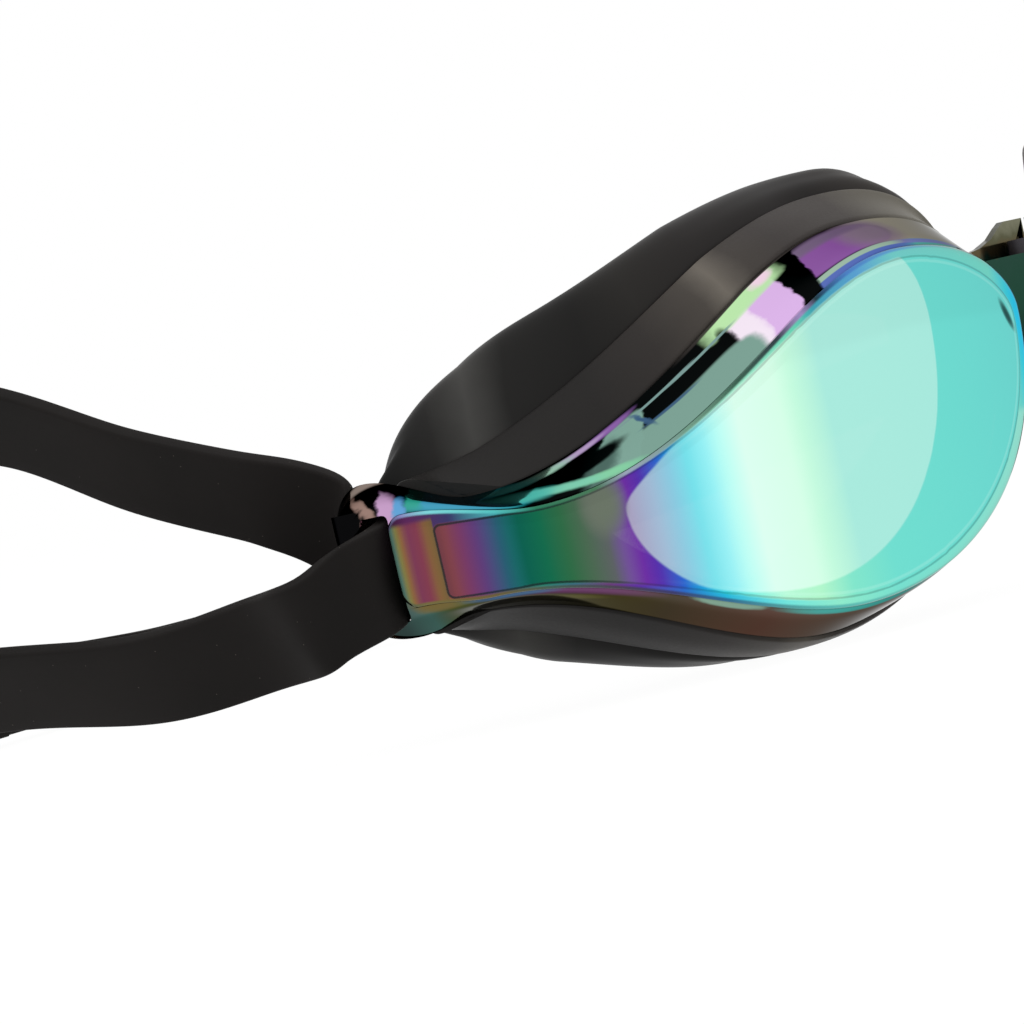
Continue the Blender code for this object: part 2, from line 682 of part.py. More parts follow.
def main():
    clear_scene()
    right = {"lens_right": lens("lens_right"),
             "seal_band_right": seal_band("seal_band_right"),
             "face_seal_right": face_seal("face_seal_right")}
    left = {name.replace("right", "left"): mirrored(part, name.replace("right", "left"))
            for name, part in right.items()}
    bridge = nose_bridge("nose_bridge")
    strap_right = strap_band("strap_right", "right", REAR_Y - 1.5 * LAYER, REAR_Y + 0.5 * LAYER)
    blank = strap_band("strap_left_blank", "left", REAR_Y - 0.5 * LAYER, REAR_Y + 1.5 * LAYER)
    strap_left = mirrored(blank, "strap_left")
    bpy.data.objects.remove(blank, do_unlink=True)
    slide = adjuster("strap_adjuster")

    root = pivot("goggles", 0, 0, None)
    hang(bridge, root)
    bar = bar_frame()[0]
    for side, unit, strap in ((-1, right, strap_right), (1, left, strap_left)):
        word = "right" if side < 0 else "left"
        cup = pivot("bridge_pivot_" + word, side * SOCKET_X, SOCKET_Y, root)
        for part in unit.values():
            hang(part, cup)
        loop = pivot("bar_pivot_" + word, -side * bar.x, bar.y, cup)
        hang(strap, loop)
        if side < 0:
            hang(slide, loop)
    place_frame(root, [bridge, slide, strap_right, strap_left, *right.values(), *left.values()])


main()
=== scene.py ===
"""Swim goggles: mirrored lenses in firm and soft seals, a clip-in nose bridge and a split strap.

Lengths are in metres. The lenses face -Y, the wearer's right is at -X and +Z is up.
"""
import math
import bpy
from collections import namedtuple
from functools import partial
from mathutils import Matrix, Vector
from mathutils.kdtree import KDTree


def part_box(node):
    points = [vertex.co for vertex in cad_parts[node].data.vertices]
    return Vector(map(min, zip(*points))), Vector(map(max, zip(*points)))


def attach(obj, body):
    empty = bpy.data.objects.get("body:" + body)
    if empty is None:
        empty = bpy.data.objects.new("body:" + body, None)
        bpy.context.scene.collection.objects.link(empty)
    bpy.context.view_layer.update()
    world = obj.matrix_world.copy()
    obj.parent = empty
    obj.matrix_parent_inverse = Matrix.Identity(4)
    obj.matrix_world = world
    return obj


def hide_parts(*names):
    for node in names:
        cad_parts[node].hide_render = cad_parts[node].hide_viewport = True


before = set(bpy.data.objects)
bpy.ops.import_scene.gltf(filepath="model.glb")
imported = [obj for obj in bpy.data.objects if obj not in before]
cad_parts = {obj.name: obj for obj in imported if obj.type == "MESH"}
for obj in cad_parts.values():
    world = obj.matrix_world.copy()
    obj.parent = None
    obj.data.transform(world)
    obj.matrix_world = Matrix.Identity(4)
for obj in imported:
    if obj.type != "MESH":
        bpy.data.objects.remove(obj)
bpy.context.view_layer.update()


# ================================================================ studio
# A seamless white sweep under soft boxes, and a long lens close to the wearer's right temple.
# The goggles stand on their two seals and the rear keeper, and the camera is rolled to suit.

CAMERA_AIM = Vector((-0.0702, -0.0676, 0.0196))
CAMERA_FROM = (-53.35, 1.63)        # azimuth and elevation, in degrees
CAMERA_ROLL = -12.98
CAMERA_DISTANCE = 0.400
CAMERA_LENS = 150.6
AIR_LIGHT = 0.45                    # the white air, as it lights matt surfaces
PAPER_GLOW, PAPER_GLOW_SHARE = 1.05, 0.92
SWEEP_HALF = 3.0
# Azimuth, elevation, distance, width and height, and power
SOFT_BOXES = {"overhead box": (-30, 74, 0.9, (1.1, 0.8), 2.8),
              "temple box": (-110, 30, 0.8, (0.75, 0.7), 1.6),
              "front box": (10, 20, 0.9, (0.75, 0.6), 1.4)}


def facing(azimuth, elevation):
    """Unit vector from the goggles toward a place round them, as angles in degrees."""
    a, e = math.radians(azimuth), math.radians(elevation)
    return Vector((math.sin(a) * math.cos(e), -math.cos(a) * math.cos(e), math.sin(e)))


def srgb(code):
    """Opaque linear colour from an sRGB hex code."""
    values = [int(code[i:i + 2], 16) / 255 for i in (0, 2, 4)]
    return (*[v / 12.92 if v <= 0.04045 else ((v + 0.055) / 1.055) ** 2.4 for v in values], 1)


def add_node(tree, kind, inputs=(), stops=(), **properties):
    """Add a node. Its inputs, in order or by name, are constants, hex colours, other nodes or
    their outputs. Stops are the places and hex colours of a colour ramp."""
    node = tree.nodes.new("ShaderNode" + kind)
    for name, value in properties.items():
        setattr(node, name, value)
    for name, value in inputs.items() if isinstance(inputs, dict) else enumerate(inputs):
        if isinstance(value, bpy.types.Node):
            value = next(output for output in value.outputs if output.enabled)
        if isinstance(value, bpy.types.NodeSocket):
            tree.links.new(value, node.inputs[name])
        else:
            node.inputs[name].default_value = srgb(value) if isinstance(value, str) else value
    for index, (place, code) in enumerate(stops):
        band = node.color_ramp.elements
        stop = band[index] if index < 2 else band.new(place)
        stop.position, stop.color = place, srgb(code)
    return node


def make_material(name, finish):
    """Material whose surface is what a finish returns, once it is given the way to add nodes."""
    material = bpy.data.materials.new(name)
    material.use_nodes = True
    material.node_tree.nodes.clear()
    add = partial(add_node, material.node_tree)
    add("OutputMaterial", (finish(add),))
    return material


def white_paper(add):
    """Matt white, bright to the eye as a lit sweep is, with part of its shade kept."""
    path = add("LightPath").outputs
    through = add("Math", (path["Is Glossy Ray"], path["Is Transmission Ray"]),
                  operation="MAXIMUM")
    share = add("Math", (path["Is Camera Ray"], PAPER_GLOW_SHARE, through),
                operation="MULTIPLY_ADD")
    matt = add("BsdfPrincipled", {"Base Color": "E8E8E6", "Roughness": 0.9})
    glow = add("Emission", ((1, 1, 1, 1), PAPER_GLOW))
    return add("MixShader", (share, matt, glow))


def select(*pieces):
    """Select these pieces and nothing else, with the first one active."""
    bpy.ops.object.select_all(action="DESELECT")
    for piece in reversed(pieces):
        piece.select_set(True)
        bpy.context.view_layer.objects.active = piece


select()
world = bpy.data.worlds.new("white studio")
world.use_nodes = True
world.node_tree.nodes.clear()
add_air = partial(add_node, world.node_tree)
seen_by = add_air("LightPath").outputs
seen = add_air("Math", (seen_by["Is Camera Ray"], seen_by["Is Glossy Ray"]), operation="MAXIMUM")
seen = add_air("Math", (seen, seen_by["Is Transmission Ray"]), operation="MAXIMUM")
strength = add_air("MapRange", {"Value": seen, "To Min": AIR_LIGHT})
add_air("OutputWorld", (add_air("Background", ((1, 1, 1, 1), strength)),))
bpy.context.scene.world = world
bpy.context.scene.view_settings.view_transform = "Standard"

bpy.ops.object.camera_add()
camera = bpy.context.object
camera.name = "camera"
camera.data.lens = CAMERA_LENS
camera.data.clip_start = 0.02
camera.location = CAMERA_AIM + facing(*CAMERA_FROM) * CAMERA_DISTANCE
level = facing(*CAMERA_FROM).to_track_quat("Z", "Y")
camera.rotation_mode = "QUATERNION"
camera.rotation_quaternion = level @ Matrix.Rotation(
    math.radians(CAMERA_ROLL), 3, "Z").to_quaternion()
bpy.context.scene.camera = camera

for name, (azimuth, elevation, distance, size, power) in SOFT_BOXES.items():
    away = facing(azimuth, elevation)
    bpy.ops.object.light_add(type="AREA", location=away * distance)
    lamp = bpy.context.object
    lamp.name = name
    lamp.rotation_euler = away.to_track_quat("Z", "Y").to_euler()
    lamp.data.shape = "RECTANGLE"
    lamp.data.size, lamp.data.size_y = size
    lamp.data.energy = power
    lamp.visible_glossy = False     # the mirror shows an even white studio

bpy.ops.mesh.primitive_plane_add(size=2 * SWEEP_HALF)
sweep = bpy.context.object
sweep.name = "sweep"
sweep.data.materials.append(make_material("white sweep paper", white_paper))


# ================================================================ lenses
# Each lens is one moulding of tinted polycarbonate: a wrapped face, a wall round it, a long arm
# with a barred slot for the strap, and a nose lug with a socket. An interference mirror coats it.

MIRROR_PLANE = (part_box("lens_right")[0].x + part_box("lens_left")[1].x) / 2
STRAP_WIDTH = 0.0097
STRAP_THICKNESS = 0.0016
GAP = 0.0003
SLOT_HALF = STRAP_WIDTH / 2 + GAP
UPPER_TIP = SLOT_HALF + 0.00265     # the arm's tip, over and under its middle line
LOWER_TIP = SLOT_HALF + 0.00225
PANEL_TIP = SLOT_HALF - 0.00075
NOSE_HALF_GAP = 0.0129
FACE_SETBACK = 0.001
NOSE_HEADING = -4.0
FACE_ARCS = ((0.036, 0.110), (0.036, 0.046), (0.020, 0.200))     # length, radius
MIDDLE = 0.0005

# One edge of an outline on the flat drawing, where s runs from the nose to the temple, z up
# from the arm's middle line, and d back from the face
Edge = namedtuple("Edge", "height arm tip top_at arm_at cap_at nose_power cap_power")
Outline = namedtuple("Outline", "nose end nose_level upper lower")
FACE = Outline(-0.0017, 0.0806, 0.0100,
               Edge(0.0184, 0.0024, PANEL_TIP, 0.0187, 0.0655, 0.0785, 1.95, 2.5),
               Edge(0.0141, 0.0050, PANEL_TIP, 0.0330, 0.0717, 0.0785, 1.95, 2.5))
WALL = Outline(-0.0024, 0.0865, 0.0080,
               Edge(0.0219, 0.0045, UPPER_TIP, 0.0181, 0.0722, 0.0825, 2.50, 2.3),
               Edge(0.0163, 0.0063, LOWER_TIP, 0.0335, 0.0740, 0.0800, 1.80, 2.5))
EYE = Outline(0.0022, 0.0590, 0.0095,
              Edge(0.0161, 0.0012, 0.0012, 0.0187, 0.0655, 0.0430, 1.70, 2.0),
              Edge(0.0120, 0.0032, 0.0032, 0.0330, 0.0717, 0.0430, 1.85, 2.0))
STEP_LINE = Outline(0.0006, 0.0757, 0.0095,
                    Edge(0.0173, 0.0020, 0.0027, 0.0187, 0.0655, 0.0750, 1.70, 6.0),
                    Edge(0.0131, 0.0044, 0.0037, 0.0330, 0.0717, 0.0750, 1.85, 6.0))
WINDOW = Outline(0.0167, 0.0578, 0.0115,
                 Edge(0.0182, 0.0013, 0.0013, 0.0215, 0.0655, 0.0500, 2.0, 2.2),
                 Edge(0.0110, 0.0036, 0.0036, 0.0400, 0.0717, 0.0500, 2.0, 2.2))
WALL_DEPTH = (0.0045, 0.0062)   # beside the nose, then over the rest of the lens
NOSE_BLEND = (-0.002, 0.022)
LENS_PLATE = (0.0018, 0.0018)
ARM_FULL_DEPTH = 0.0022
ARM_FULL_END = 0.0859
FLANK_SHARE = 0.35
RIM_WIDTH = 0.0013              # the rounded edge of the face: how wide, and how deep
RIM_DEPTH = 0.0009
KNEE = 0.0450                   # where the arm begins to leave the eye opening
AROUND = 160                    # columns from the nose to the arm's tip
RUNGS = 24                      # rows across the face and across the lens plate
WELD = 2e-6                     # how near two points are made one
HAIR = 0.0001                   # allowance in telling surfaces apart
DRAWING_UNIT = 0.1              # metres to one unit of the drawing kept on a mesh
BAR_AT = 0.0836
BAR_DEPTH = 0.0034
BAR_RADIUS = 0.0013
POST_AT, POST_HALF = 0.0839, (0.0017, 0.0014)      # the bar's oval section along s and d
POST_BITE = 0.0008              # how far the bar runs into the moulding at each end
SLOT_START = 0.0799
SLOT_ROUND = 0.0006
OVERCUT = 0.001
SOCKET = Vector((-0.0052, 0.0031, 0))
BEAD_RADIUS = 0.0013
BORE_RADIUS = BEAD_RADIUS + GAP
BARREL_RADIUS = BORE_RADIUS + 0.0008
BARREL_TURN = (-95, 110)        # degrees round the socket
SOCKET_MOUTH = (-78.0, 48.0)
LUG_BOTTOM, LUG_TOP, LUG_FLOOR = 0.0060, 0.0157, 0.0008
LUG_FRONT, LUG_ROOT = 0.0008, 0.0045
LUG_REAR = FACE_SETBACK + WALL_DEPTH[0] - GAP
FIN_TOP = ((-0.0137, 0.0168), (-0.0107, 0.0171), (-0.0080, 0.0178), (-0.0060, 0.0188),
           (-0.0048, 0.0193), (-0.0010, 0.0193))
REAR_Y = 0.1800
REST_LEVEL = -0.0169            # the table, below the middle of the arm
PLACE = Vector((MIRROR_PLANE,
                sum(c.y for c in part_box("strap_adjuster")) / 2 - REAR_Y,
                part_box("seal_band_right")[0].z - REST_LEVEL))


def plan_point(s):
    """Point and heading on the face curve, seen from above, at s from the nose."""
    x, y, heading = -NOSE_HALF_GAP, FACE_SETBACK, math.radians(NOSE_HEADING)
    if s < 0:
        return x - s * math.cos(heading), y + s * math.sin(heading), heading
    left = s
    for length, radius in FACE_ARCS:
        last = (length, radius) == FACE_ARCS[-1]
        run = left if last or left < length else length
        turned = heading + run / radius
        x -= radius * (math.sin(turned) - math.sin(heading))
        y += radius * (math.cos(heading) - math.cos(turned))
        heading = turned
        left -= run
        if left <= 0:
            break
    return x, y, heading


def bend(point):
    """A point (s, d, z) of the flat drawing, taken to its place on the right lens."""
    s, d, z = point
    x, y, heading = plan_point(s)
    return Vector((x + d * math.sin(heading), y + d * math.cos(heading), z))


def ease(value, low, high):
    """Share from 0 to 1 as a value goes from low to high, soft at both ends."""
    share = min(max((value - low) / (high - low), 0.0), 1.0)
    return share * share * (3 - 2 * share)


def edge_height(s, edge, nose, end, nose_height):
    """Height of one edge over the middle line; beside the nose it starts at nose_height."""
    share = min(max((s - edge.top_at) / (edge.arm_at - edge.top_at), 0.0), 1.0)
    height = edge.height + (edge.arm - edge.height) * (1 - math.cos(math.pi * share)) / 2
    if edge.tip != edge.arm:
        spread_from = min(edge.arm_at, edge.cap_at - 0.004)
        height += (edge.tip - edge.arm) * ease(s, spread_from, edge.cap_at)
    if s < edge.top_at:
        across = (edge.top_at - s) / (edge.top_at - nose)
        share = max(1 - across ** edge.nose_power, 0.0) ** (1 / edge.nose_power)
        height = nose_height + (edge.height - nose_height) * share
    if s > edge.cap_at:
        across = (s - edge.cap_at) / (end - edge.cap_at)
        height *= max(1 - across ** edge.cap_power, 0.0) ** (1 / edge.cap_power)
    return height


def mixed(first, second, share, end=None):
    """Outline part-way between two others."""
    def mix(a, b):
        """The value part-way from a to b."""
        return a + (b - a) * share

    upper = Edge(*map(mix, first.upper, second.upper))
    lower = Edge(*map(mix, first.lower, second.lower))
    return Outline(mix(first.nose, second.nose), end or mix(first.end, second.end),
                   mix(first.nose_level, second.nose_level), upper, lower)


def beside_wall(share):
    """Share of the way along the eye opening that lies beside a share of the way along the wall:
    level with it over the lens, and crowded to the opening's end along the arm."""
    s = WALL.nose + (WALL.end - WALL.nose) * share
    if s < KNEE:
        s = EYE.nose + (s - WALL.nose) * (KNEE - EYE.nose) / (KNEE - WALL.nose)
    else:
        s = KNEE + (EYE.end - KNEE) * (1 - (1 - (s - KNEE) / (WALL.end - KNEE)) ** 3)
    return (s - EYE.nose) / (EYE.end - EYE.nose)


def drawn(outline, inset=0.0, spread=None):
    """An outline as (s, z) points: along its upper edge to the tip, and back underneath."""
    nose, end, rise = outline.nose, outline.end, outline.nose_level
    upper, lower = [], []
    for step in range(AROUND + 1):
        share = (1 - math.cos(math.pi * step / AROUND)) / 2
        share = spread(share) if spread else share
        at = nose + (end - nose) * share
        s = nose + inset + (end - nose - 2 * inset) * share
        up = edge_height(at, outline.upper, nose, end, rise)
        down = edge_height(at, outline.lower, nose, end, -rise)
        centre = rise * (1 - ease(at, nose, outline.lower.top_at))
        up = centre + (up - centre) * (1 - inset / outline.upper.height)
        down = -centre + (down + centre) * (1 - inset / outline.lower.height)
        upper.append((s, MIDDLE + up))
        lower.append((s, MIDDLE - down))
    return upper + lower[-2:0:-1]


def drawn_in(points, distance):
    """The closed run of points moved inward by a distance, square to the run."""
    moved = []
    for i, (s, z) in enumerate(points):
        before, after = points[i - 1], points[(i + 1) % len(points)]
        run = Vector((after[0] - before[0], after[1] - before[1])).normalized()
        moved.append((s + run.y * distance, z - run.x * distance))
    return moved


def at_depth(points, depth):
    """Points (s, z) set at a depth, a pair: beside the nose, and away from it."""
    return [Vector((s, depth[0] + (depth[1] - depth[0]) * ease(s, *NOSE_BLEND), z))
            for s, z in points]


def curve_through(knots, spans, closed=False):
    """Rings, or points of any number of values, on a smooth curve through others, with so many
    steps in each span."""
    count = len(knots)
    run = []
    for i in range(count if closed else count - 1):
        a = knots[(i - 1) % count] if closed or i else knots[0]
        b, c = knots[i], knots[(i + 1) % count]
        e = knots[(i + 2) % count] if closed else knots[min(i + 2, count - 1)]
        for step in range(spans[i]):
            t = step / spans[i]
            run.append([0.5 * (2 * q + (r - p) * t + (2 * p - 5 * q + 4 * r - w) * t * t
                               + (3 * q - p - 3 * r + w) * t ** 3)
                        for p, q, r, w in zip(a, b, c, e)])
    return run if closed else run + [list(knots[-1])]


def grid_piece(name, rows, wrap_columns=False, wrap_rows=False):
    """A flat grid shaped by rows of points; a wrapped side is closed on its start."""
    across = len(rows[0]) - (0 if wrap_columns else 1)
    along = len(rows) - (0 if wrap_rows else 1)
    select()
    bpy.ops.mesh.primitive_grid_add(x_subdivisions=across, y_subdivisions=along, size=1)
    piece = bpy.context.object
    piece.name = name
    for vert in piece.data.vertices:
        column = round((vert.co.x + 0.5) * across)
        row = round((vert.co.y + 0.5) * along)
        vert.co = rows[row % len(rows)][column % len(rows[0])]
    return piece


def weld(capped=False):
    """Merge the meeting edges of the piece in hand, cap its open ends if asked, and turn its
    faces outward."""
    bpy.ops.object.mode_set(mode="EDIT")
    bpy.ops.mesh.select_all(action="SELECT")
    bpy.ops.mesh.remove_doubles(threshold=WELD)
    if capped:
        bpy.ops.mesh.select_all(action="DESELECT")
        bpy.ops.mesh.select_non_manifold()
        bpy.ops.mesh.edge_face_add()
        bpy.ops.mesh.select_all(action="SELECT")
    bpy.ops.mesh.normals_make_consistent(inside=False)
    bpy.ops.object.mode_set(mode="OBJECT")


def closed_up(pieces, name):
    """Join pieces into one closed piece."""
    select(*pieces)
    if len(pieces) > 1:
        bpy.ops.object.join()
    whole = pieces[0]
    whole.name = whole.data.name = name
    weld()
    return whole


def ladder(points):
    """Rows that fill a closed run of points from its upper edge down to its lower one."""
    upper = points[:AROUND + 1]
    lower = [points[0], *points[:AROUND - 1:-1]]
    return [[a.lerp(b, rung / RUNGS) for a, b in zip(upper, lower)] for rung in range(RUNGS + 1)]


def apply_step(piece, kind, **settings):
    """Apply one modifier to a piece."""
    step = piece.modifiers.new(kind.lower(), kind)
    for name, value in settings.items():
        setattr(step, name, value)
    bpy.context.view_layer.objects.active = piece
    bpy.ops.object.modifier_apply(modifier=step.name)


def apply_boolean(piece, tool, operation):
    """Cut a piece with a tool, or weld the tool to it, and drop the tool."""
    select()
    apply_step(piece, "BOOLEAN", operation=operation, solver="EXACT", object=tool)
    bpy.data.objects.remove(tool, do_unlink=True)


def block(name, low, high, bevel, cuts=0):
    """Box between two corners, with rounded edges and, if asked, cuts so that it can bend."""
    low, high = Vector(low), Vector(high)
    select()
    bpy.ops.mesh.primitive_cube_add(size=1, location=(low + high) / 2, scale=high - low)
    piece = bpy.context.object
    piece.name = name
    bpy.ops.object.transform_apply(location=True, rotation=False, scale=True)
    bpy.ops.object.mode_set(mode="EDIT")
    bpy.ops.mesh.select_all(action="SELECT")
    bpy.ops.mesh.bevel(offset=bevel, segments=3, affect="EDGES")
    for cut in range(1, cuts + 1):
        bpy.ops.mesh.select_all(action="SELECT")
        bpy.ops.mesh.bisect(plane_co=(low.x + (high.x - low.x) * cut / (cuts + 1), 0, 0),
                            plane_no=(1, 0, 0))
    bpy.ops.object.mode_set(mode="OBJECT")
    return piece


def post(name, centre, radius, bottom, top):
    """Upright round post."""
    select()
    bpy.ops.mesh.primitive_cylinder_add(vertices=32, radius=radius, depth=top - bottom,
                                        location=(centre[0], centre[1], (top + bottom) / 2))
    piece = bpy.context.object
    piece.name = name
    bpy.ops.object.transform_apply(location=True, rotation=False, scale=False)
    return piece


def prism(name, outline, bottom, top):
    """Upright solid over a closed outline of (x, y) points."""
    rows = [[Vector((x, y, z)) for x, y in outline] for z in (bottom, top)]
    piece = grid_piece(name, rows, wrap_columns=True)
    weld(capped=True)
    return piece


def arc(centre, radius, start, stop, steps):
    """Points on an arc of a circle, from one angle in degrees to another."""
    angles = [math.radians(start + (stop - start) * k / steps) for k in range(steps + 1)]
    return [(centre[0] + radius * math.cos(a), centre[1] + radius * math.sin(a)) for a in angles]


def lens_shell():
    """The closed shell on the flat drawing: face, rim, wall, rear edge and eye pocket."""
    rim_steps, rear_steps, pocket_steps = 8, 16, 4
    face = drawn(FACE)
    rim = []
    for step in range(rim_steps + 1):
        turn = math.pi / 2 * step / rim_steps
        rim.append(at_depth(drawn_in(face, RIM_WIDTH * (1 - math.sin(turn))),
                            (RIM_DEPTH * (1 - math.cos(turn)),) * 2))
    wall = at_depth(drawn(WALL), WALL_DEPTH)
    middle = at_depth(drawn(mixed(FACE, WALL, FLANK_SHARE, end=ARM_FULL_END)),
                      (ARM_FULL_DEPTH,) * 2)
    front = rim[:-1] + curve_through([rim[-1], middle, wall], (5, 9))
    opening = drawn(EYE, spread=beside_wall)
    pocket_edge = at_depth(opening, WALL_DEPTH)
    pocket_floor = at_depth(opening, LENS_PLATE)
    rear = []
    for step in range(1, rear_steps + 1):
        share = step / rear_steps
        rise = 1 - (1 - share) ** 3
        rear.append([Vector((a.x + (b.x - a.x) * share, a.y + (b.y - a.y) * share,
                             a.z + (b.z - a.z) * rise)) for a, b in zip(wall, pocket_edge)])
    pocket = [[a.lerp(b, step / pocket_steps) for a, b in zip(pocket_edge, pocket_floor)]
              for step in range(1, pocket_steps + 1)]
    hoop = grid_piece("hoop", front + rear + pocket, wrap_columns=True)
    return closed_up([hoop, grid_piece("face", ladder(rim[0])),
                      grid_piece("plate", ladder(pocket_floor))], "lens_right_moulding")


def keep_drawing(mesh):
    """Keep s and z of the flat drawing as the mesh's own UV."""
    flat = mesh.uv_layers[0]
    flat.name = "flat drawing"
    for loop in mesh.loops:
        place = mesh.vertices[loop.vertex_index].co
        flat.data[loop.index].uv = (place.x / DRAWING_UNIT, place.z / DRAWING_UNIT)


def run_tree(points):
    """Search tree over a closed run of (s, z) points, filled in between them."""
    fills = 4
    tree = KDTree(len(points) * fills)
    for i, (s, z) in enumerate(points):
        after = points[(i + 1) % len(points)]
        for k in range(fills):
            tree.insert((s + (after[0] - s) * k / fills, z + (after[1] - z) * k / fills, 0),
                        fills * i + k)
    tree.balance()
    return tree


def within(points, s, z):
    """True if (s, z) lies inside a closed run of points."""
    inside = False
    for (s0, z0), (s1, z1) in zip(points, points[1:] + points[:1]):
        if (z0 > z) != (z1 > z) and s < s0 + (s1 - s0) * (z - z0) / (z1 - z0):
            inside = not inside
    return inside


def keep_ways_across(mesh):
    """Keep as attributes, in millimetres, the way across the face's edge, below 0 on the face and
    above 0 on the wall, and across the step line and the eye window, below 0 inside them."""
    for name, outline in (("edge", FACE), ("step", STEP_LINE), ("window", WINDOW)):
        line = drawn(outline)
        tree = run_tree(line)
        values = mesh.attributes.new("across_" + name, "FLOAT", "POINT")
        for vert in mesh.vertices:
            s, d, z = vert.co
            away = tree.find((s, z, 0))[2]
            if name == "edge":
                inside = d < RIM_DEPTH - HAIR / 10
                away = away if inside else math.hypot(away, d - RIM_DEPTH)
            else:
                inside = within(line, s, z)
            values.data[vert.index].value = 1000 * (-away if inside else away)


def name_surfaces(piece):
    """Material slots of the shell: 0 mirrored face and rim, 1 wall and arm, 2 bare inside."""
    arm_rear_start, arm_start = 0.060, 0.066
    centre = Vector((0.028, 0, 0.004))
    for face in piece.data.polygons:
        s, d, z = face.center
        outward = s > arm_start or (
            face.normal.x * (s - centre.x) + face.normal.z * (z - centre.z) > 0)
        in_pocket = (EYE.nose - 2 * HAIR < s < EYE.end + 2 * HAIR and d > LENS_PLATE[0] - HAIR
                     and not outward)
        if face.normal.y < -0.15 and d < RIM_DEPTH:
            face.material_index = 0
        elif (face.normal.y > 0.6 and s < arm_rear_start) or in_pocket:
            face.material_index = 2
        else:
            face.material_index = 1


def lens_right():
    """The shell with its slot and bar, marked for its finishes and bent round the face."""
    lens = lens_shell()
    slot = block("slot", (SLOT_START, -OVERCUT, -SLOT_HALF),
                 (WALL.end + OVERCUT, WALL_DEPTH[1] + OVERCUT, SLOT_HALF), SLOT_ROUND, cuts=14)
    apply_boolean(lens, slot, "DIFFERENCE")
    reach = SLOT_HALF + POST_BITE
    end_post = [(POST_AT + POST_HALF[0] * math.cos(k * math.pi / 16),
                 BAR_DEPTH + POST_HALF[1] * math.sin(k * math.pi / 16)) for k in range(32)]
    apply_boolean(lens, prism("end post", end_post, -reach, reach), "UNION")
    keep_drawing(lens.data)
    keep_ways_across(lens.data)
    name_surfaces(lens)
    for vert in lens.data.vertices:
        vert.co = bend(vert.co)
    return lens


def nose_lug():
    """Web from the lens edge to an open socket, with an upright fin behind it."""
    root_x = -NOSE_HALF_GAP - LUG_ROOT
    outline = [(root_x, FACE_SETBACK + LUG_FRONT),
               *arc(SOCKET, BARREL_RADIUS, *BARREL_TURN, 24), (root_x, LUG_REAR)]
    lug = prism("lug", outline, LUG_BOTTOM, LUG_TOP)
    fin_points = [(FIN_TOP[0][0], LUG_BOTTOM), (FIN_TOP[-1][0], LUG_BOTTOM), *FIN_TOP[::-1]]
    fin = prism("fin", fin_points, -LUG_REAR - GAP, -SOCKET.y - BORE_RADIUS)
    fin.data.transform(Matrix.Rotation(math.pi / 2, 4, "X"))
    floor, top = LUG_BOTTOM + LUG_FLOOR, LUG_TOP + OVERCUT
    apply_boolean(lug, post("bore", SOCKET, BORE_RADIUS, floor, top), "DIFFERENCE")
    mouth = [tuple(SOCKET[:2]), *arc(SOCKET, 2 * BARREL_RADIUS, *SOCKET_MOUTH, 12)]
    apply_boolean(lug, prism("mouth", mouth, floor, top), "DIFFERENCE")
    apply_boolean(lug, fin, "UNION")
    apply_step(lug, "BEVEL", width=0.00025, segments=3, limit_method="ANGLE", angle_limit=0.6)
    for face in lug.data.polygons:
        face.material_index = 3
    return lug


def mirror_copy(piece, name):
    """Copy of a right-hand piece for the wearer's left, with its own mesh."""
    copy = piece.copy()
    copy.data = piece.data.copy()
    copy.name = copy.data.name = name
    bpy.context.collection.objects.link(copy)
    copy.data.transform(Matrix.Diagonal((-1, 1, 1, 1)))
    copy.data.flip_normals()
    return copy


def settle(piece, body, node, materials=()):
    """Put a piece in its place in the frame, finish it, and hang it on its body."""
    piece.data.transform(Matrix.Translation(PLACE))
    for material in materials:
        piece.data.materials.append(material)
    select(piece)
    bpy.ops.object.shade_smooth_by_angle(angle=math.radians(40))
    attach(piece, body)
    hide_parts(node)


# Finishes of the lens. Places along a finish are in the units of the drawing kept on the mesh,
# spots of colour are in millimetres, and both are chosen for how the coat looks there.
SMOOTH = {"interpolation_type": "SMOOTHSTEP"}
COLOURS = {"data_type": "RGBA"}
PANEL_SLOPE, PANEL_LEVEL = 0.07, -0.0555    # the arm panel's middle line, rising to the tip
PANEL_END, PANEL_HALF = 0.751, 0.0285
PANEL_CORNER = 0.6                          # millimetres
LENS_IOR = 1.585

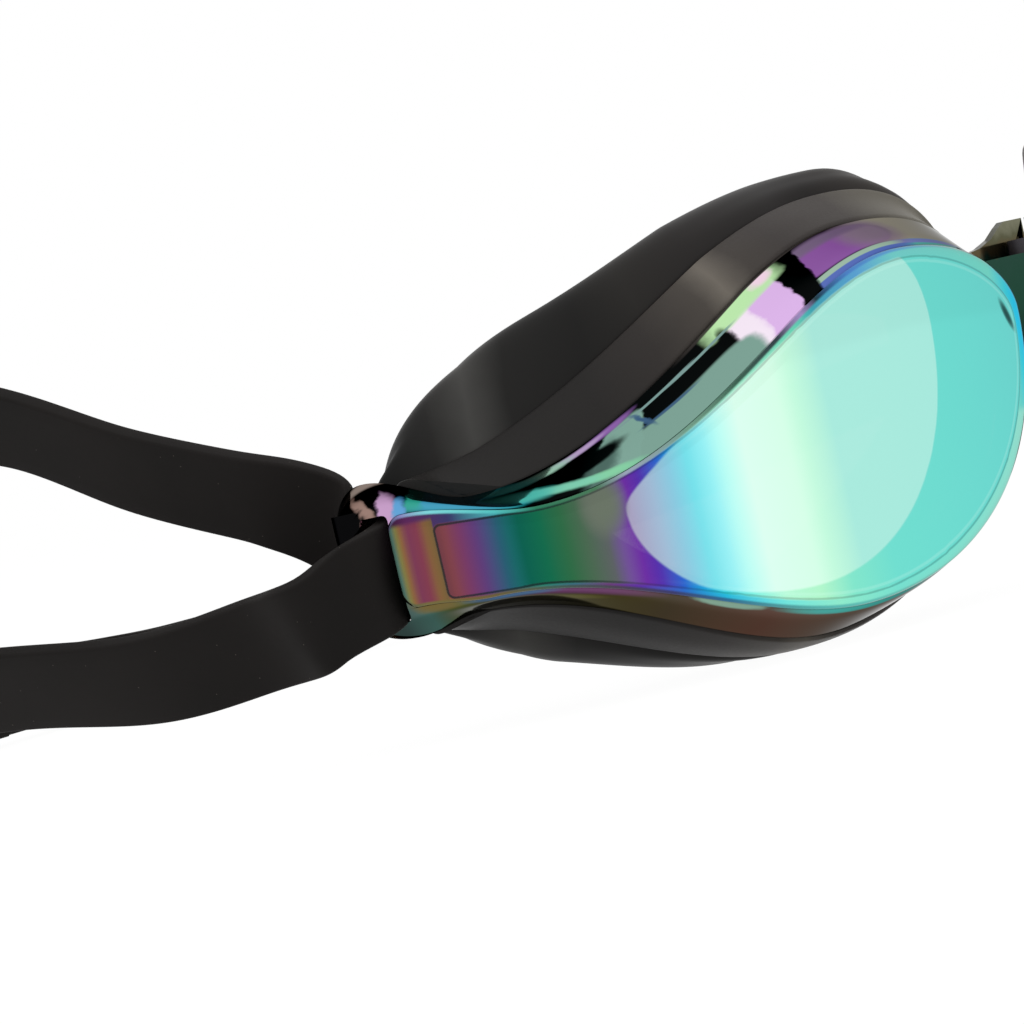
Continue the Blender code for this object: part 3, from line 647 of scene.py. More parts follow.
# Hex colour, place along and across, half size along and across, sideways lean, rise, corners
# (2 is an oval, and more are squarer) and softness of the edge
MIRROR_SPOTS_AND_REFLECTION = (
    # a pale painted reflection near the arm's root, then spots at the nose's top corner
    ("687264", 59.9, 1.7, 1.4, 2.0, 0, 0, 2, 0.95),
    ("22B4E0", 0.6, 13.6, 2.2, 1.5, 0, 0.6, 2, 0.8),
    ("08BEE0", -0.6, 10.0, 0.9, 4.0, 0.2, 0, 2, 0.7),
    ("0A4A48", 2.1, 10.0, 0.45, 1.2, 0.5, 0, 2, 0.8))
UPPER_WALL_REFLECTIONS = (
    # nose end, painted reflections: grey-beige, with a teal hem and a violet line over it
    ("A09A8A", 8.0, 3.2, 10.0, 4.6, 0, 0, 4, 0.25),
    ("BDB9A0", 3.4, 4.2, 2.4, 3.0, 0, 0, 2, 0.6),
    ("5FB0A6", 10.0, 0.3, 12.0, 0.6, 0, 0, 4, 0.5),
    ("7C86C0", 17.0, 0.75, 9.0, 0.25, 0, 0, 4, 0.6),
    # a painted reflection: violet window in a black ring
    ("141214", 24.0, 3.6, 8.6, 2.75, 0, 0, 2, 0.08),
    ("8E5BA3", 24.4, 3.4, 8.0, 2.2, 0, 0, 4, 0.07),
    ("8F7C90", 18.6, 3.4, 3.2, 2.2, 0, 0, 2, 0.8),
    ("7A6784", 25.0, 5.2, 6.0, 0.6, 0, 0, 2, 0.8),
    ("9FBBA8", 26.0, 0.78, 7.5, 0.25, 0, 0, 6, 0.35),
    ("5A6FB8", 26.0, 0.15, 8.5, 0.32, 0, 0, 6, 0.4),
    # painted reflections: the gap, and the bright lilac window with its mint corner
    ("0A0C0C", 31.2, 3.2, 2.0, 4.2, -0.35, 0, 8, 0.10),
    ("DDB6EA", 36.9, 3.1, 3.9, 3.4, 0, 0, 8, 0.06),
    ("F6E8F6", 39.3, 2.2, 1.3, 2.6, 0, 0, 4, 0.6),
    ("BDE9AE", 37.2, 5.5, 4.6, 0.9, 0, 0, 4, 0.5),
    ("F3D5E6", 33.6, 5.9, 1.3, 0.6, 0, 0, 2, 0.7),
    ("0A0C0C", 41.4, 3.6, 0.8, 1.6, 0, 0, 2, 0.4),
    # painted light: sage windows, with a thin arc over them
    ("7DA295", 48.6, -0.2, 9.6, 3.1, 0, 0, 4, 0.07),
    ("7FA598", 56.5, 2.4, 2.7, 3.3, -0.6, 0, 4, 0.08),
    ("4E6A62", 58.7, 1.8, 1.3, 2.0, -0.6, 0, 2, 0.8),
    ("7C9C98", 44.6, 4.85, 3.8, 0.13, 0, 0.05, 4, 0.5),
    ("7C9C98", 50.8, 5.2, 4.0, 0.13, 0, 0.02, 4, 0.5),
    ("3E5E80", 53.0, 4.0, 0.22, 1.1, 0.5, 0, 2, 0.9),
    ("41607E", 50.0, 2.9, 2.4, 0.13, 0, 0.05, 2, 0.9),
    # painted reflections: cyan over the root of the arm, with dark and light streaks that run into
    # it
    ("33A8AE", 72.2, 2.8, 5.7, 2.8, 0, 0, 4, 0.15),
    ("58AFCC", 74.0, 4.0, 2.4, 1.4, 0, 0, 2, 0.8),
    ("4A9FC0", 73.2, 1.1, 4.0, 1.0, 0, 0, 2, 0.8),
    ("0A0D0D", 63.2, 3.2, 7.6, 1.25, 0, -0.05, 2, 0.15),
    ("8C62A8", 56.5, 5.95, 2.6, 0.35, 0, -0.05, 2, 0.7),
    ("B49BC4", 60.6, 5.6, 2.8, 0.32, 0, -0.1, 2, 0.7),
    ("9CC6B0", 64.6, 5.05, 2.8, 0.45, 0, -0.12, 2, 0.7),
    ("63C4BE", 68.6, 4.5, 2.8, 0.6, 0, -0.1, 2, 0.7),
    ("86D0A4", 59.0, 0.7, 3.2, 0.38, 0, 0.15, 2, 0.7),
    ("7FCDB0", 63.2, 1.5, 3.2, 0.5, 0, 0.2, 2, 0.7),
    ("55BDB0", 67.2, 2.0, 2.8, 0.9, 0, 0.1, 2, 0.7),
    # the arm's end, painted reflections: teal and blue into a lilac streak, black, and painted
    # grey highlights on the loop
    ("3BA592", 77.6, 2.8, 0.9, 2.0, 0, 0, 4, 0.5),
    ("0B0B0C", 79.6, 3.6, 1.6, 3.4, 0, 0, 4, 0.15),
    ("C79FC8", 80.1, 1.5, 0.95, 2.2, 0.3, 0, 2, 0.8),
    ("62A4D6", 78.7, 1.0, 0.5, 1.4, 0, 0, 2, 0.7),
    ("0B0B0C", 86.0, 4.0, 5.2, 6.0, 0, 0, 6, 0.05),
    ("8E8078", 82.4, 6.7, 2.0, 0.5, 0, 0, 2, 0.6),
    ("9A7E74", 82.2, 3.2, 0.3, 1.8, 0.5, 0, 2, 0.9),
    # the rear edge over the lens, painted dark for the seal behind it
    ("3A3634", 19.0, 6.7, 25.0, 0.5, 0, 0, 8, 0.15))
LOWER_WALL_SPOTS_AND_REFLECTIONS = (
    # Painted reflections: teal, sage, violet, blue and olive streaks, and the rear edge painted
    # dark for the seal behind it
    ("4CA8A0", 28.0, 0.1, 12.0, 0.5, 0, 0, 4, 0.5),
    ("7FA08E", 49.5, 0.0, 3.4, 0.75, 0, 0, 2, 0.25),
    ("6C4668", 63.5, 0.1, 5.0, 0.8, 0, 0, 2, 0.8),
    ("4E6A8A", 70.0, 0.1, 3.0, 0.5, 0, 0, 2, 0.8),
    ("6F6A3C", 67.5, 2.6, 4.0, 0.6, 0, 0.1, 2, 0.9),
    ("6E6038", 77.2, 0.1, 1.6, 0.7, 0, 0, 2, 0.9),
    ("241F1B", 52.0, 6.3, 36.0, 0.5, 0, 0, 8, 0.15))


def flat_drawing(add):
    """The ways along and up the drawing kept on the mesh."""
    parts = add("SeparateXYZ", (add("UVMap", uv_map="flat drawing"),)).outputs
    return parts["X"], parts["Y"]


def patches(add, scale, detail=3.0):
    """Soft uneven patches, fixed to the piece."""
    return add("TexNoise", {"Vector": add("TexCoord").outputs["Object"], "Scale": scale,
                            "Detail": detail})


def give_way(add, under, over, value, low, high):
    """One colour that gives way to another as a value goes from low to high."""
    share = add("MapRange", (value, low, high), **SMOOTH)
    return add("Mix", {0: share, 6: under, 7: over}, **COLOURS)


def lay_spots(add, colour, place, spots):
    """Lay soft-edged spots over a colour, at places in millimetres along and across."""
    along, across = place
    for code, u, v, half_u, half_v, lean, rise, corners, soft in spots:
        shifted = add("Math", (across, -lean, along), operation="MULTIPLY_ADD")
        lifted = add("Math", (along, -rise, across), operation="MULTIPLY_ADD")
        powers = []
        for way, middle, half in ((shifted, u - lean * v, half_u), (lifted, v - rise * u, half_v)):
            share = add("Math", (way, 1 / half, -middle / half), operation="MULTIPLY_ADD")
            powers.append(add("Math", (share, corners), operation="POWER"))
        out = add("Math", powers, operation="ADD")
        cover = add("MapRange", (out, (1 - soft) ** corners, (1 + soft) ** corners, 1.0, 0.0),
                    **SMOOTH)
        colour = add("Mix", {0: cover, 6: colour, 7: code}, **COLOURS)
    return colour


def mirror_coating(add):
    """Interference mirror, vacuum-coated: it reflects one colour at each place, and lets a little
    of the complement through. Both change with the coat's thickness along the curve. Over the eye
    opening it is painted paler, as painted light for the daylight that comes through from behind."""
    along, height = flat_drawing(add)
    step, window, edge = [add("Attribute", attribute_name="across_" + name).outputs["Fac"]
                          for name in ("step", "window", "edge")]
    # On the arm the step goes round a panel with rounded corners
    tilt = add("Math", (along, -PANEL_SLOPE, -PANEL_LEVEL), operation="MULTIPLY_ADD")
    rise = add("Math", (height, tilt), operation="ADD")
    rise = add("Math", (rise,), operation="ABSOLUTE")
    corner = add("CombineXYZ", (add("Math", (along, PANEL_END), operation="SUBTRACT"),
                                add("Math", (rise, PANEL_HALF), operation="SUBTRACT")))
    reach = add("VectorMath", (add("VectorMath", (corner,), operation="MAXIMUM"),),
                operation="LENGTH")
    panel = add("Math", (reach, 100.0, -PANEL_CORNER), operation="MULTIPLY_ADD")
    at_arm = add("MapRange", (along, 0.66, 0.70), **SMOOTH)
    step = add("Mix", {0: at_arm, 2: step, 3: panel})
    outside = add("ValToRGB", (along,), (
        (0.00, "66D2CC"), (0.30, "6EDACC"), (0.36, "80E2C8"), (0.40, "AEF2C8"), (0.44, "B4F6D4"),
        (0.475, "7CEEE0"), (0.50, "30D2DC"), (0.52, "1FA4D8"), (0.54, "2A60C8"), (0.56, "5230A8"),
        (0.575, "6B2F9E"), (0.588, "6F4F95"), (0.602, "5A6060"), (0.62, "4A6650"),
        (0.64, "2E6844"), (0.66, "15684A"), (0.68, "0E5E4E"), (0.69, "1A6464"),
        (0.70, "2A5A70"), (0.71, "464C78"), (0.72, "5C3C76"), (0.735, "743A62"),
        (0.748, "7E4248"), (0.755, "6E3C44")))
    # Painted light: paler colours over the eye opening, for the daylight coming through from
    # behind
    inside = add("ValToRGB", (along,), (
        (0.16, "A4E5D9"), (0.34, "A6E6D9"), (0.36, "B4EED8"), (0.38, "C0F6DA"), (0.40, "D2FBE4"),
        (0.45, "D8FEEC"), (0.475, "B4F8F0"), (0.49, "93ECF0"), (0.51, "72DCE6"), (0.53, "86C6DC"),
        (0.55, "9CB6D0"), (0.575, "A49EBC")))
    painted_through_light = add("MapRange", (window, -0.10, 0.22, 1.0, 0.0), **SMOOTH)
    colour = add("Mix", {0: painted_through_light, 6: outside, 7: inside}, **COLOURS)
    place = [add("Math", (way, 100.0), operation="MULTIPLY") for way in (along, height)]
    colour = lay_spots(add, colour, place, MIRROR_SPOTS_AND_REFLECTION)
    # The margin outside the step line runs through its own colours along the arm
    upper = add("ValToRGB", (along,), (
        (-0.01, "0CC0E4"), (0.012, "30C8D8"), (0.04, "6FD2C2"), (0.20, "6FC8C4"), (0.26, "5A9FD0"),
        (0.33, "3E9FB0"), (0.36, "5FCFB0"), (0.44, "9CE8C8"), (0.50, "8FC8B8"), (0.57, "8A8FB0"),
        (0.60, "4A7858"), (0.64, "2E6A48"), (0.67, "1F7A60"), (0.70, "4AAAB0"), (0.74, "3A3A68"),
        (0.78, "5A2A58"), (0.80, "2A1828")))
    lower = add("ValToRGB", (along,), (
        (0.04, "8FDCCB"), (0.30, "74DCCB"), (0.38, "8CE6C8"), (0.44, "6FE0D8"), (0.50, "28B4D8"),
        (0.54, "2A68C0"), (0.58, "5A2FA0"), (0.61, "6A3A78"), (0.64, "3A6A80"), (0.67, "2F8070"),
        (0.70, "5A5A70"), (0.72, "6A4668"), (0.74, "7E4A40"), (0.765, "86603A"),
        (0.79, "6E7448"), (0.80, "5A8A78")))
    margin = give_way(add, lower, upper, height, 0.0, 0.01)
    colour = give_way(add, colour, margin, step, 0.0, 0.25)
    # The plain end between the panel and the slot, in bands square across the arm
    tip = add("ValToRGB", (along,), (
        (0.757, "6E5A3C"), (0.764, "80603A"), (0.772, "7E3C4C"), (0.783, "763A54"),
        (0.789, "86603E"), (0.793, "7A7644"), (0.797, "4A6A60"), (0.80, "14201E")))
    side = add("Math", (height,), operation="ABSOLUTE")
    at_tip = add("Math", (add("MapRange", (along, 0.7565, 0.758), **SMOOTH),
                          add("MapRange", (side, 0.036, 0.042, 1.0, 0.0), **SMOOTH)),
                 operation="MULTIPLY")
    colour = add("Mix", {0: at_tip, 6: colour, 7: tip}, **COLOURS)
    # The step itself, painted only: a hair of painted shade, and a painted highlight beside it
    dark = add("Math", (step,), operation="ABSOLUTE")
    bright = add("Math", (add("Math", (step, 0.45), operation="ADD"),), operation="ABSOLUTE")
    for line, (near, far), strength, code in (
            (dark, (0.04, 0.17), (0.55, 0.66, 0.34, 0.85), "1E2A2C"),
            (bright, (0.06, 0.22), (0.40, 0.58, 0.13, 0.0), "D8FFF4")):
        share = add("Math", (add("MapRange", (line, near, far, 1.0, 0.0), **SMOOTH),
                             add("MapRange", (along, *strength), **SMOOTH)),
                    operation="MULTIPLY")
        colour = add("Mix", {0: share, 6: colour, 7: code}, **COLOURS)
    # The rounded rim, where the coat runs thin
    rim_upper = add("ValToRGB", (along,), (
        (0.00, "7A5AB8"), (0.03, "4FA0D0"), (0.07, "6FC0B0"), (0.20, "5A9FD0"), (0.27, "4A7FC4"),
        (0.32, "1E3A40"), (0.345, "A08CC0"), (0.38, "20303A"), (0.44, "2E5A48"), (0.50, "6E9A84"),
        (0.57, "9AA6B8"), (0.60, "4A7858"), (0.66, "2F7A5C"), (0.70, "55C2C0"), (0.76, "7FD8DC"),
        (0.785, "8A8AC0"), (0.80, "2A1828")))
    rim_lower = add("ValToRGB", (along,), (
        (0.05, "A8E0C8"), (0.20, "6FCBB8"), (0.38, "58B8B0"), (0.44, "4E9A9A"), (0.50, "2E6A90"),
        (0.55, "3A3A6A"), (0.60, "4A3F50"), (0.66, "3E5A50"), (0.72, "6A5A34"), (0.78, "70683C"),
        (0.80, "4A5A4A")))
    rim = give_way(add, rim_lower, rim_upper, height, 0.0, 0.01)
    colour = give_way(add, colour, rim, edge, -0.45, -0.20)
    metal = add("BsdfPrincipled", {"Base Color": colour, "Metallic": 1.0, "Roughness": 0.03,
                                   "Specular Tint": (0.7, 0.7, 0.7, 1)})
    complement = add("Mix", {0: 1.0, 6: (1, 1, 1, 1), 7: colour}, **COLOURS,
                     blend_type="SUBTRACT")
    through = add("Mix", {0: 1.0, 6: complement, 7: (0.05, 0.05, 0.05, 1)}, **COLOURS,
                  blend_type="MULTIPLY")
    return add("AddShader", (metal, add("BsdfTransparent", (through,))))


def coated_wall(add):
    """The same coat on the steep wall and the arm, with reflections painted into its colour:
    black, with sage, lilac and violet windows of painted reflection in it above, and olive-brown
    below."""
    along, height = flat_drawing(add)
    wobble = 0.55
    uneven = add("Math", (patches(add, 900.0), 2 * wobble, -wobble), operation="MULTIPLY_ADD")
    place = (add("Math", (along, 100.0, uneven), operation="MULTIPLY_ADD"),
             add("Attribute", attribute_name="across_edge").outputs["Fac"])
    # Painted reflection: the upper wall is black where the coat mirrors dark things
    above = add("ValToRGB", (along,), ((0.0, "0B0E0E"), (0.8, "0A0C0C")))
    above = lay_spots(add, above, place, UPPER_WALL_REFLECTIONS)
    below = add("ValToRGB", (along,), (
        (0.20, "A39D90"), (0.28, "7A7066"), (0.35, "675A50"), (0.45, "5C463E"), (0.55, "4E463A"),
        (0.62, "524D33"), (0.72, "5A5535"), (0.76, "56603F"), (0.78, "4C6B64"),
        (0.81, "41504E")))
    below = lay_spots(add, below, place, LOWER_WALL_SPOTS_AND_REFLECTIONS)
    colour = give_way(add, below, above, height, 0.0, 0.01)
    return add("BsdfPrincipled", {"Base Color": colour, "Metallic": 1.0, "Roughness": 0.06,
                                  "Specular Tint": (0.4, 0.4, 0.4, 1)})


def bare_polycarbonate(add):
    """Moulded polycarbonate with a smoky tint and no coat: glossy, and half see-through."""
    tint = add("ValToRGB", (patches(add, 300.0),), ((0.3, "3C4442"), (0.7, "4C5552")))
    return add("BsdfPrincipled", {"Base Color": tint, "Alpha": 0.6, "Roughness": 0.04,
                                  "IOR": LENS_IOR})


def smoky_polycarbonate(add):
    """The nose lug, thick and coated on all sides: smoked glass, dark green below and tan at
    the top."""
    up = add("SeparateXYZ", (add("TexCoord").outputs["Object"],)).outputs["Z"]
    height = add("MapRange", {"Value": up, "From Min": 0.022, "From Max": 0.0375, "To Max": 0.92})
    uneven = add("Math", (patches(add, 500.0, 2.0), 0.16, height), operation="MULTIPLY_ADD")
    colour = add("ValToRGB", (uneven,), (
        (0.15, "0C241E"), (0.45, "1C4434"), (0.72, "24463A"), (0.77, "5E5038"), (0.83, "5A5A44"),
        (0.92, "7A7A66")))
    return add("BsdfPrincipled", {"Base Color": colour, "Metallic": 0.9, "Roughness": 0.12,
                                  "Specular Tint": (0.5, 0.5, 0.5, 1)})


right_lens = lens_right()
lug = nose_lug()
for name, finish in (("green interference mirror on polycarbonate", mirror_coating),
                     ("mirror coat on the wall, with painted reflections", coated_wall),
                     ("bare tinted polycarbonate", bare_polycarbonate),
                     ("smoky coated polycarbonate lug", smoky_polycarbonate)):
    material = make_material(name, finish)
    right_lens.data.materials.append(material)
    lug.data.materials.append(material)
select(right_lens, lug)
bpy.ops.object.join()
right_lens.name = right_lens.data.name = "mirror_lens_right"
left_lens = mirror_copy(right_lens, "mirror_lens_left")
settle(right_lens, "right_cup", "lens_right")
settle(left_lens, "left_cup", "lens_left")


# ================================================================ seal bands
# A firm band of thermoplastic rubber is moulded on behind each lens wall. It carries the soft
# lip and closes the step between the arm and the eye opening.

BAND = Outline(-0.0024, 0.0800, 0.0080,
               Edge(0.0219, 0.0045, UPPER_TIP - 0.0006, 0.0181, 0.0722, 0.0780, 2.50, 2.5),
               Edge(0.0163, 0.0063, LOWER_TIP, 0.0335, 0.0740, 0.0780, 1.80, 2.5))
CREASE = Outline(-0.0040, 0.0825, 0.0090,
                 Edge(0.0256, 0.0070, 0.0070, 0.0145, 0.0850, 0.0780, 2.20, 2.6),
                 Edge(0.0174, 0.0074, 0.0074, 0.0349, 0.0848, 0.0746, 2.20, 2.6))
BAND_PROUD = 0.0004
BAND_FRONT_WALL = 0.0022
BAND_ROUNDS = (0.0003, 0.0016, 0.0005, 0.0003, 0.0004)      # at each corner of its section
BEND_EVERY = 0.0015             # the longest span of a section that is still bent smoothly
CREASE_DEPTH = (0.0068, 0.0112)
INNER_REAR = mixed(EYE, CREASE, 0.35, end=EYE.end)


def deeper(depth, extra):
    """A pair of depths, both set further back."""
    return tuple(d + extra for d in depth)


def spans(first, second):
    """Rings from one to another, close enough together to bend."""
    gap = max((a - b).length for a, b in zip(first, second))
    count = max(1, math.ceil(gap / BEND_EVERY))
    return [[a.lerp(b, k / count) for a, b in zip(first, second)] for k in range(count + 1)]


def rounded(corners, radii, steps=4):
    """Closed section with each corner ring turned into a short arc, and long spans divided."""
    run = []
    for i, (corner, radius) in enumerate(zip(corners, radii)):
        start, stop = [
            [c.lerp(n, min(0.45, radius / max((n - c).length, 1e-9)))
             for c, n in zip(corner, neighbour)]
            for neighbour in (corners[i - 1], corners[(i + 1) % len(corners)])]
        if run:
            run += spans(run[-1], start)[1:-1]
        for step in range(steps + 1):
            t = step / steps
            run.append([p * (1 - t) ** 2 + c * 2 * t * (1 - t) + q * t * t
                        for p, c, q in zip(start, corner, stop)])
    return run + spans(run[-1], run[0])[1:-1]


def hoop_piece(name, rings):
    """Close a section swept round the lens, and bend it to its place."""
    piece = closed_up([grid_piece(name, rings, wrap_columns=True, wrap_rows=True)], name)
    keep_drawing(piece.data)
    for vert in piece.data.vertices:
        vert.co = bend(vert.co)
    return piece


def seal_band():
    """The band's section, from the lens wall back to the crease and in to the eye."""
    front = deeper(WALL_DEPTH, GAP)
    corners = [at_depth(drawn(BAND, -BAND_PROUD), front),
               at_depth(drawn(mixed(BAND, CREASE, 0.5), -BAND_PROUD),
                        deeper(front, BAND_FRONT_WALL)),
               at_depth(drawn(CREASE), CREASE_DEPTH),
               at_depth(drawn(INNER_REAR), CREASE_DEPTH),
               at_depth(drawn(EYE), front)]
    return hoop_piece("firm_band_right", rounded(corners, BAND_ROUNDS))


def firm_rubber(add):
    """Firm thermoplastic rubber from a spark-textured mould: satin, warm dark grey, with a fine
    pebble, and a soft sheen painted into its colour: paler near the nose and at one place further
    along, darker towards the arm."""
    along = flat_drawing(add)[0]
    run = add("Math", (patches(add, 120.0, 4.0), 0.04, along), operation="MULTIPLY_ADD")
    # Painted sheen along the band: paler near the nose and at 0.395, darker towards the arm
    colour = add("ValToRGB", (run,), (
        (0.05, "6E6A60"), (0.13, "5A564E"), (0.19, "3A3532"), (0.30, "332E2C"), (0.355, "3A3531"),
        (0.395, "6A645C"), (0.43, "423D38"), (0.50, "2A2624"), (0.58, "1C1A19"), (0.80, "1A1817")))
    grain = patches(add, 4000.0, 2.0)
    return add("BsdfPrincipled", {
        "Base Color": colour, "Specular IOR Level": 0.18,
        "Roughness": add("MapRange", {"Value": grain, "To Min": 0.42, "To Max": 0.55}),
        "Normal": add("Bump", {"Height": grain, "Strength": 0.15, "Distance": 0.00005})})


right_band = seal_band()
left_band = mirror_copy(right_band, "firm_band_left")
band_finish = (make_material("satin firm rubber band", firm_rubber),)
settle(right_band, "right_cup", "seal_band_right", band_finish)
settle(left_band, "left_cup", "seal_band_left", band_finish)


# ================================================================ face seals
# The lip that meets the skin is soft silicone. It swells out behind the crease, then curls in
# to a thin rounded crest all round the eye.

LIP = Outline(-0.0012, 0.0831, 0.0090,
              Edge(0.0281, 0.0173, 0.0173, 0.0125, 0.0840, 0.0594, 2.20, 2.6),
              Edge(0.0170, 0.0112, 0.0112, 0.0400, 0.0840, 0.0670, 2.10, 1.9))
LIP_DEPTH = (0.0100, 0.0155)
CREST_DEPTH = (0.0120, 0.0185)
LIP_THICKNESS = 0.0026
LIP_SWELL = 0.0018
LIP_CURL = 0.0065
CREST_ROUND = (0.0007, 0.0014)


def face_seal():
    """The lip's section: out from the crease, over the crest and back inside."""
    base = deeper(CREASE_DEPTH, GAP)
    outer_crest, inner_crest = [deeper(CREST_DEPTH, -fall) for fall in CREST_ROUND]
    corners = [at_depth(drawn(CREASE, GAP), base),
               at_depth(drawn(mixed(CREASE, LIP, 0.75)), deeper(base, LIP_SWELL)),
               at_depth(drawn(LIP), LIP_DEPTH),
               at_depth(drawn(LIP, LIP_THICKNESS / 2), outer_crest),
               at_depth(drawn(LIP, LIP_CURL / 2), CREST_DEPTH),
               at_depth(drawn(LIP, LIP_CURL), inner_crest),
               at_depth(drawn(LIP, 1.5 * LIP_THICKNESS), LIP_DEPTH),
               at_depth(drawn(INNER_REAR), base)]
    return hoop_piece("soft_lip_right",
                      curve_through(corners, (6, 6, 4, 4, 4, 4, 8, 14), closed=True))


def soft_silicone(add):
    """Soft silicone from a polished mould: near black, with a broad grey sheen painted into its
    colour towards the arm, a little paler near the nose, and darkest at the arm's end.
    """
    along = flat_drawing(add)[0]
    cloud = patches(add, 80.0)
    run = add("Math", (cloud, 0.06, along), operation="MULTIPLY_ADD")
    # Painted sheen: the grey stop at 0.745, with darker colour on either side
    colour = add("ValToRGB", (run,), (
        (0.10, "2E2A27"), (0.20, "1A1716"), (0.40, "201D1C"), (0.50, "23211F"), (0.58, "151413"),
        (0.68, "1C1B1A"), (0.745, "454442"), (0.79, "201F1E"), (0.84, "0C0C0B")))
    rough = add("MapRange", {"Value": cloud, "To Min": 0.40, "To Max": 0.48})
    return add("BsdfPrincipled", {"Base Color": colour, "Specular IOR Level": 0.15,
                                  "Roughness": rough})


right_lip = face_seal()
left_lip = mirror_copy(right_lip, "soft_lip_left")
lip_finish = (make_material("soft black silicone lip", soft_silicone),)
settle(right_lip, "right_cup", "face_seal_right", lip_finish)
settle(left_lip, "left_cup", "face_seal_left", lip_finish)


# ================================================================ nose bridge
# A dark rubber bar between the lenses, one of several sizes. A bead along each end snaps into
# the lens sockets and lets the cups hinge to the face.

BRIDGE_TOP = 0.0172
BRIDGE_THICKNESS = 0.0016
BRIDGE_BOW = 0.0008
BRIDGE_STEPS = 32


def nose_bridge():
    """A thin bar bowed forward in the middle, with a bead at each end."""
    bottom = LUG_BOTTOM + LUG_FLOOR + GAP
    half = BRIDGE_THICKNESS / 2
    middle_line = []
    for step in range(BRIDGE_STEPS + 1):
        x = SOCKET.x - 2 * SOCKET.x * step / BRIDGE_STEPS
        middle_line.append((x, SOCKET.y - BRIDGE_BOW * (1 - (x / SOCKET.x) ** 2) ** 2))
    front = [(x, y - half) for x, y in middle_line]
    rear = [(x, y + half) for x, y in middle_line]
    bar = prism("bridge_bar", front + rear[::-1], bottom, BRIDGE_TOP)
    for side in (-1, 1):
        apply_boolean(bar, post("bead", (side * SOCKET.x, SOCKET.y), BEAD_RADIUS, bottom,
                                BRIDGE_TOP), "UNION")
    apply_step(bar, "BEVEL", width=0.0003, segments=3, limit_method="ANGLE", angle_limit=0.9)
    bar.name = bar.data.name = "bridge_bar"
    return bar


def bridge_rubber(add):
    """Firm black rubber, satin from the mould."""
    colour = add("ValToRGB", (patches(add, 500.0),), ((0.35, "29262A"), (0.65, "353138")))
    return add("BsdfPrincipled", {"Base Color": colour, "Specular IOR Level": 0.35,
                                  "Roughness": 0.42})


settle(nose_bridge(), "bridge", "nose_bridge",
       (make_material("satin bridge rubber", bridge_rubber),))


# ================================================================ strap
# Each side is one flat silicone band, looped round the bar in the arm so that two strands run
# to the back of the head. It is moulded in an open tool, matt, and picks up dust.

STRAIGHT_HALF = 0.0300
TAIL_END = 0.0145
TAIL_STEPS = 12
LAYER = STRAP_THICKNESS + GAP
REAR_LEVEL = -0.01075
STEEPEST = 0.60
LOOP_RADIUS = BAR_RADIUS + GAP + STRAP_THICKNESS / 2
LOOP_STEPS = 24
STEP_LENGTH = 0.0006            # the sweep's rows, and how far each strand is smoothed
OUTER_SMOOTHING, INNER_SMOOTHING = 0.0016, 0.0022
STRAP_EDGE = 0.00035

# Points of each strand: x, y, height, and how far the band leans outward at its top, degrees
OUTER_REAR = ((-0.0765, 0.1490, -0.0065, 3), (-0.0645, 0.1650, -0.0108, 1),
              (-0.0500, 0.1756, REAR_LEVEL - 0.0011, 0), (-0.0385, 0.1801, REAR_LEVEL - 0.0006, 0))
INNER_REAR_RUN = ((-0.0730, 0.1440, -0.0025, -3), (-0.0620, 0.1600, -0.0103, -1),
                  (-0.0480, 0.1713, REAR_LEVEL - 0.0011, 0),
                  (-0.0375, 0.1763, REAR_LEVEL - 0.0006, 0))
STRANDS = {
    "right": (((-0.0836, 0.0470, -0.0042, 26), (-0.0864, 0.0600, -0.0053, 28),
               (-0.0880, 0.0800, -0.0034, 32), (-0.0875, 0.1080, -0.0034, 20),
               (-0.0840, 0.1300, -0.0044, 8)),
              ((-0.0790, 0.0490, 0.0094, -27), (-0.0807, 0.0610, 0.0143, -28),
               (-0.0820, 0.0790, 0.0226, -31), (-0.0818, 0.1000, 0.0230, -16),
               (-0.0795, 0.1240, 0.0118, -8))),
    "left": (((-0.0836, 0.0470, 0.0022, 14), (-0.0864, 0.0600, 0.0046, 22),
              (-0.0880, 0.0800, 0.0040, 28), (-0.0875, 0.1080, -0.0010, 18),
              (-0.0840, 0.1300, -0.0042, 8)),
             ((-0.0790, 0.0490, 0.0092, -24), (-0.0807, 0.0610, 0.0125, -26),
              (-0.0820, 0.0790, 0.0185, -26), (-0.0818, 0.1000, 0.0180, -16),
              (-0.0795, 0.1240, 0.0090, -8)))}
# Where each strand leaves the bar: how far along and inward from its start, height and lean
OUTER_START = ((0.0, 0.0, -0.0014, 7), (0.0009, -0.0001, -0.0017, 11),
               (0.0020, -0.0004, -0.0021, 17), (0.0034, -0.0008, -0.0027, 23),
               (0.0060, -0.0012, -0.0036, 27))
INNER_START = ((0.0, 0.0, 0.0014, 0), (0.0008, 0.0023, 0.0019, -5), (0.0018, 0.0035, 0.0034, -15),
               (0.0034, 0.0036, 0.0056, -24), (0.0070, 0.0030, 0.0079, -29))


def evened(path, smoothing):
    """The path with even steps, its bumps smoothed out over a length; both ends stay."""
    walked = [0.0]
    for a, b in zip(path, path[1:]):
        walked.append(walked[-1] + math.dist(a[:3], b[:3]))
    count = round(walked[-1] / STEP_LENGTH)
    even, at = [], 0
    for step in range(count + 1):
        target = walked[-1] * step / count
        while at < len(path) - 2 and walked[at + 1] < target:
            at += 1
        share = (target - walked[at]) / max(walked[at + 1] - walked[at], 1e-9)
        even.append([p + (q - p) * share for p, q in zip(path[at], path[at + 1])])
    for turn in range(round((smoothing / STEP_LENGTH) ** 2)):
        even = [even[0]] + [[(a + 2 * b + c) / 4 for a, b, c in zip(*three)]
                            for three in zip(even, even[1:], even[2:])] + [even[-1]]
    return even


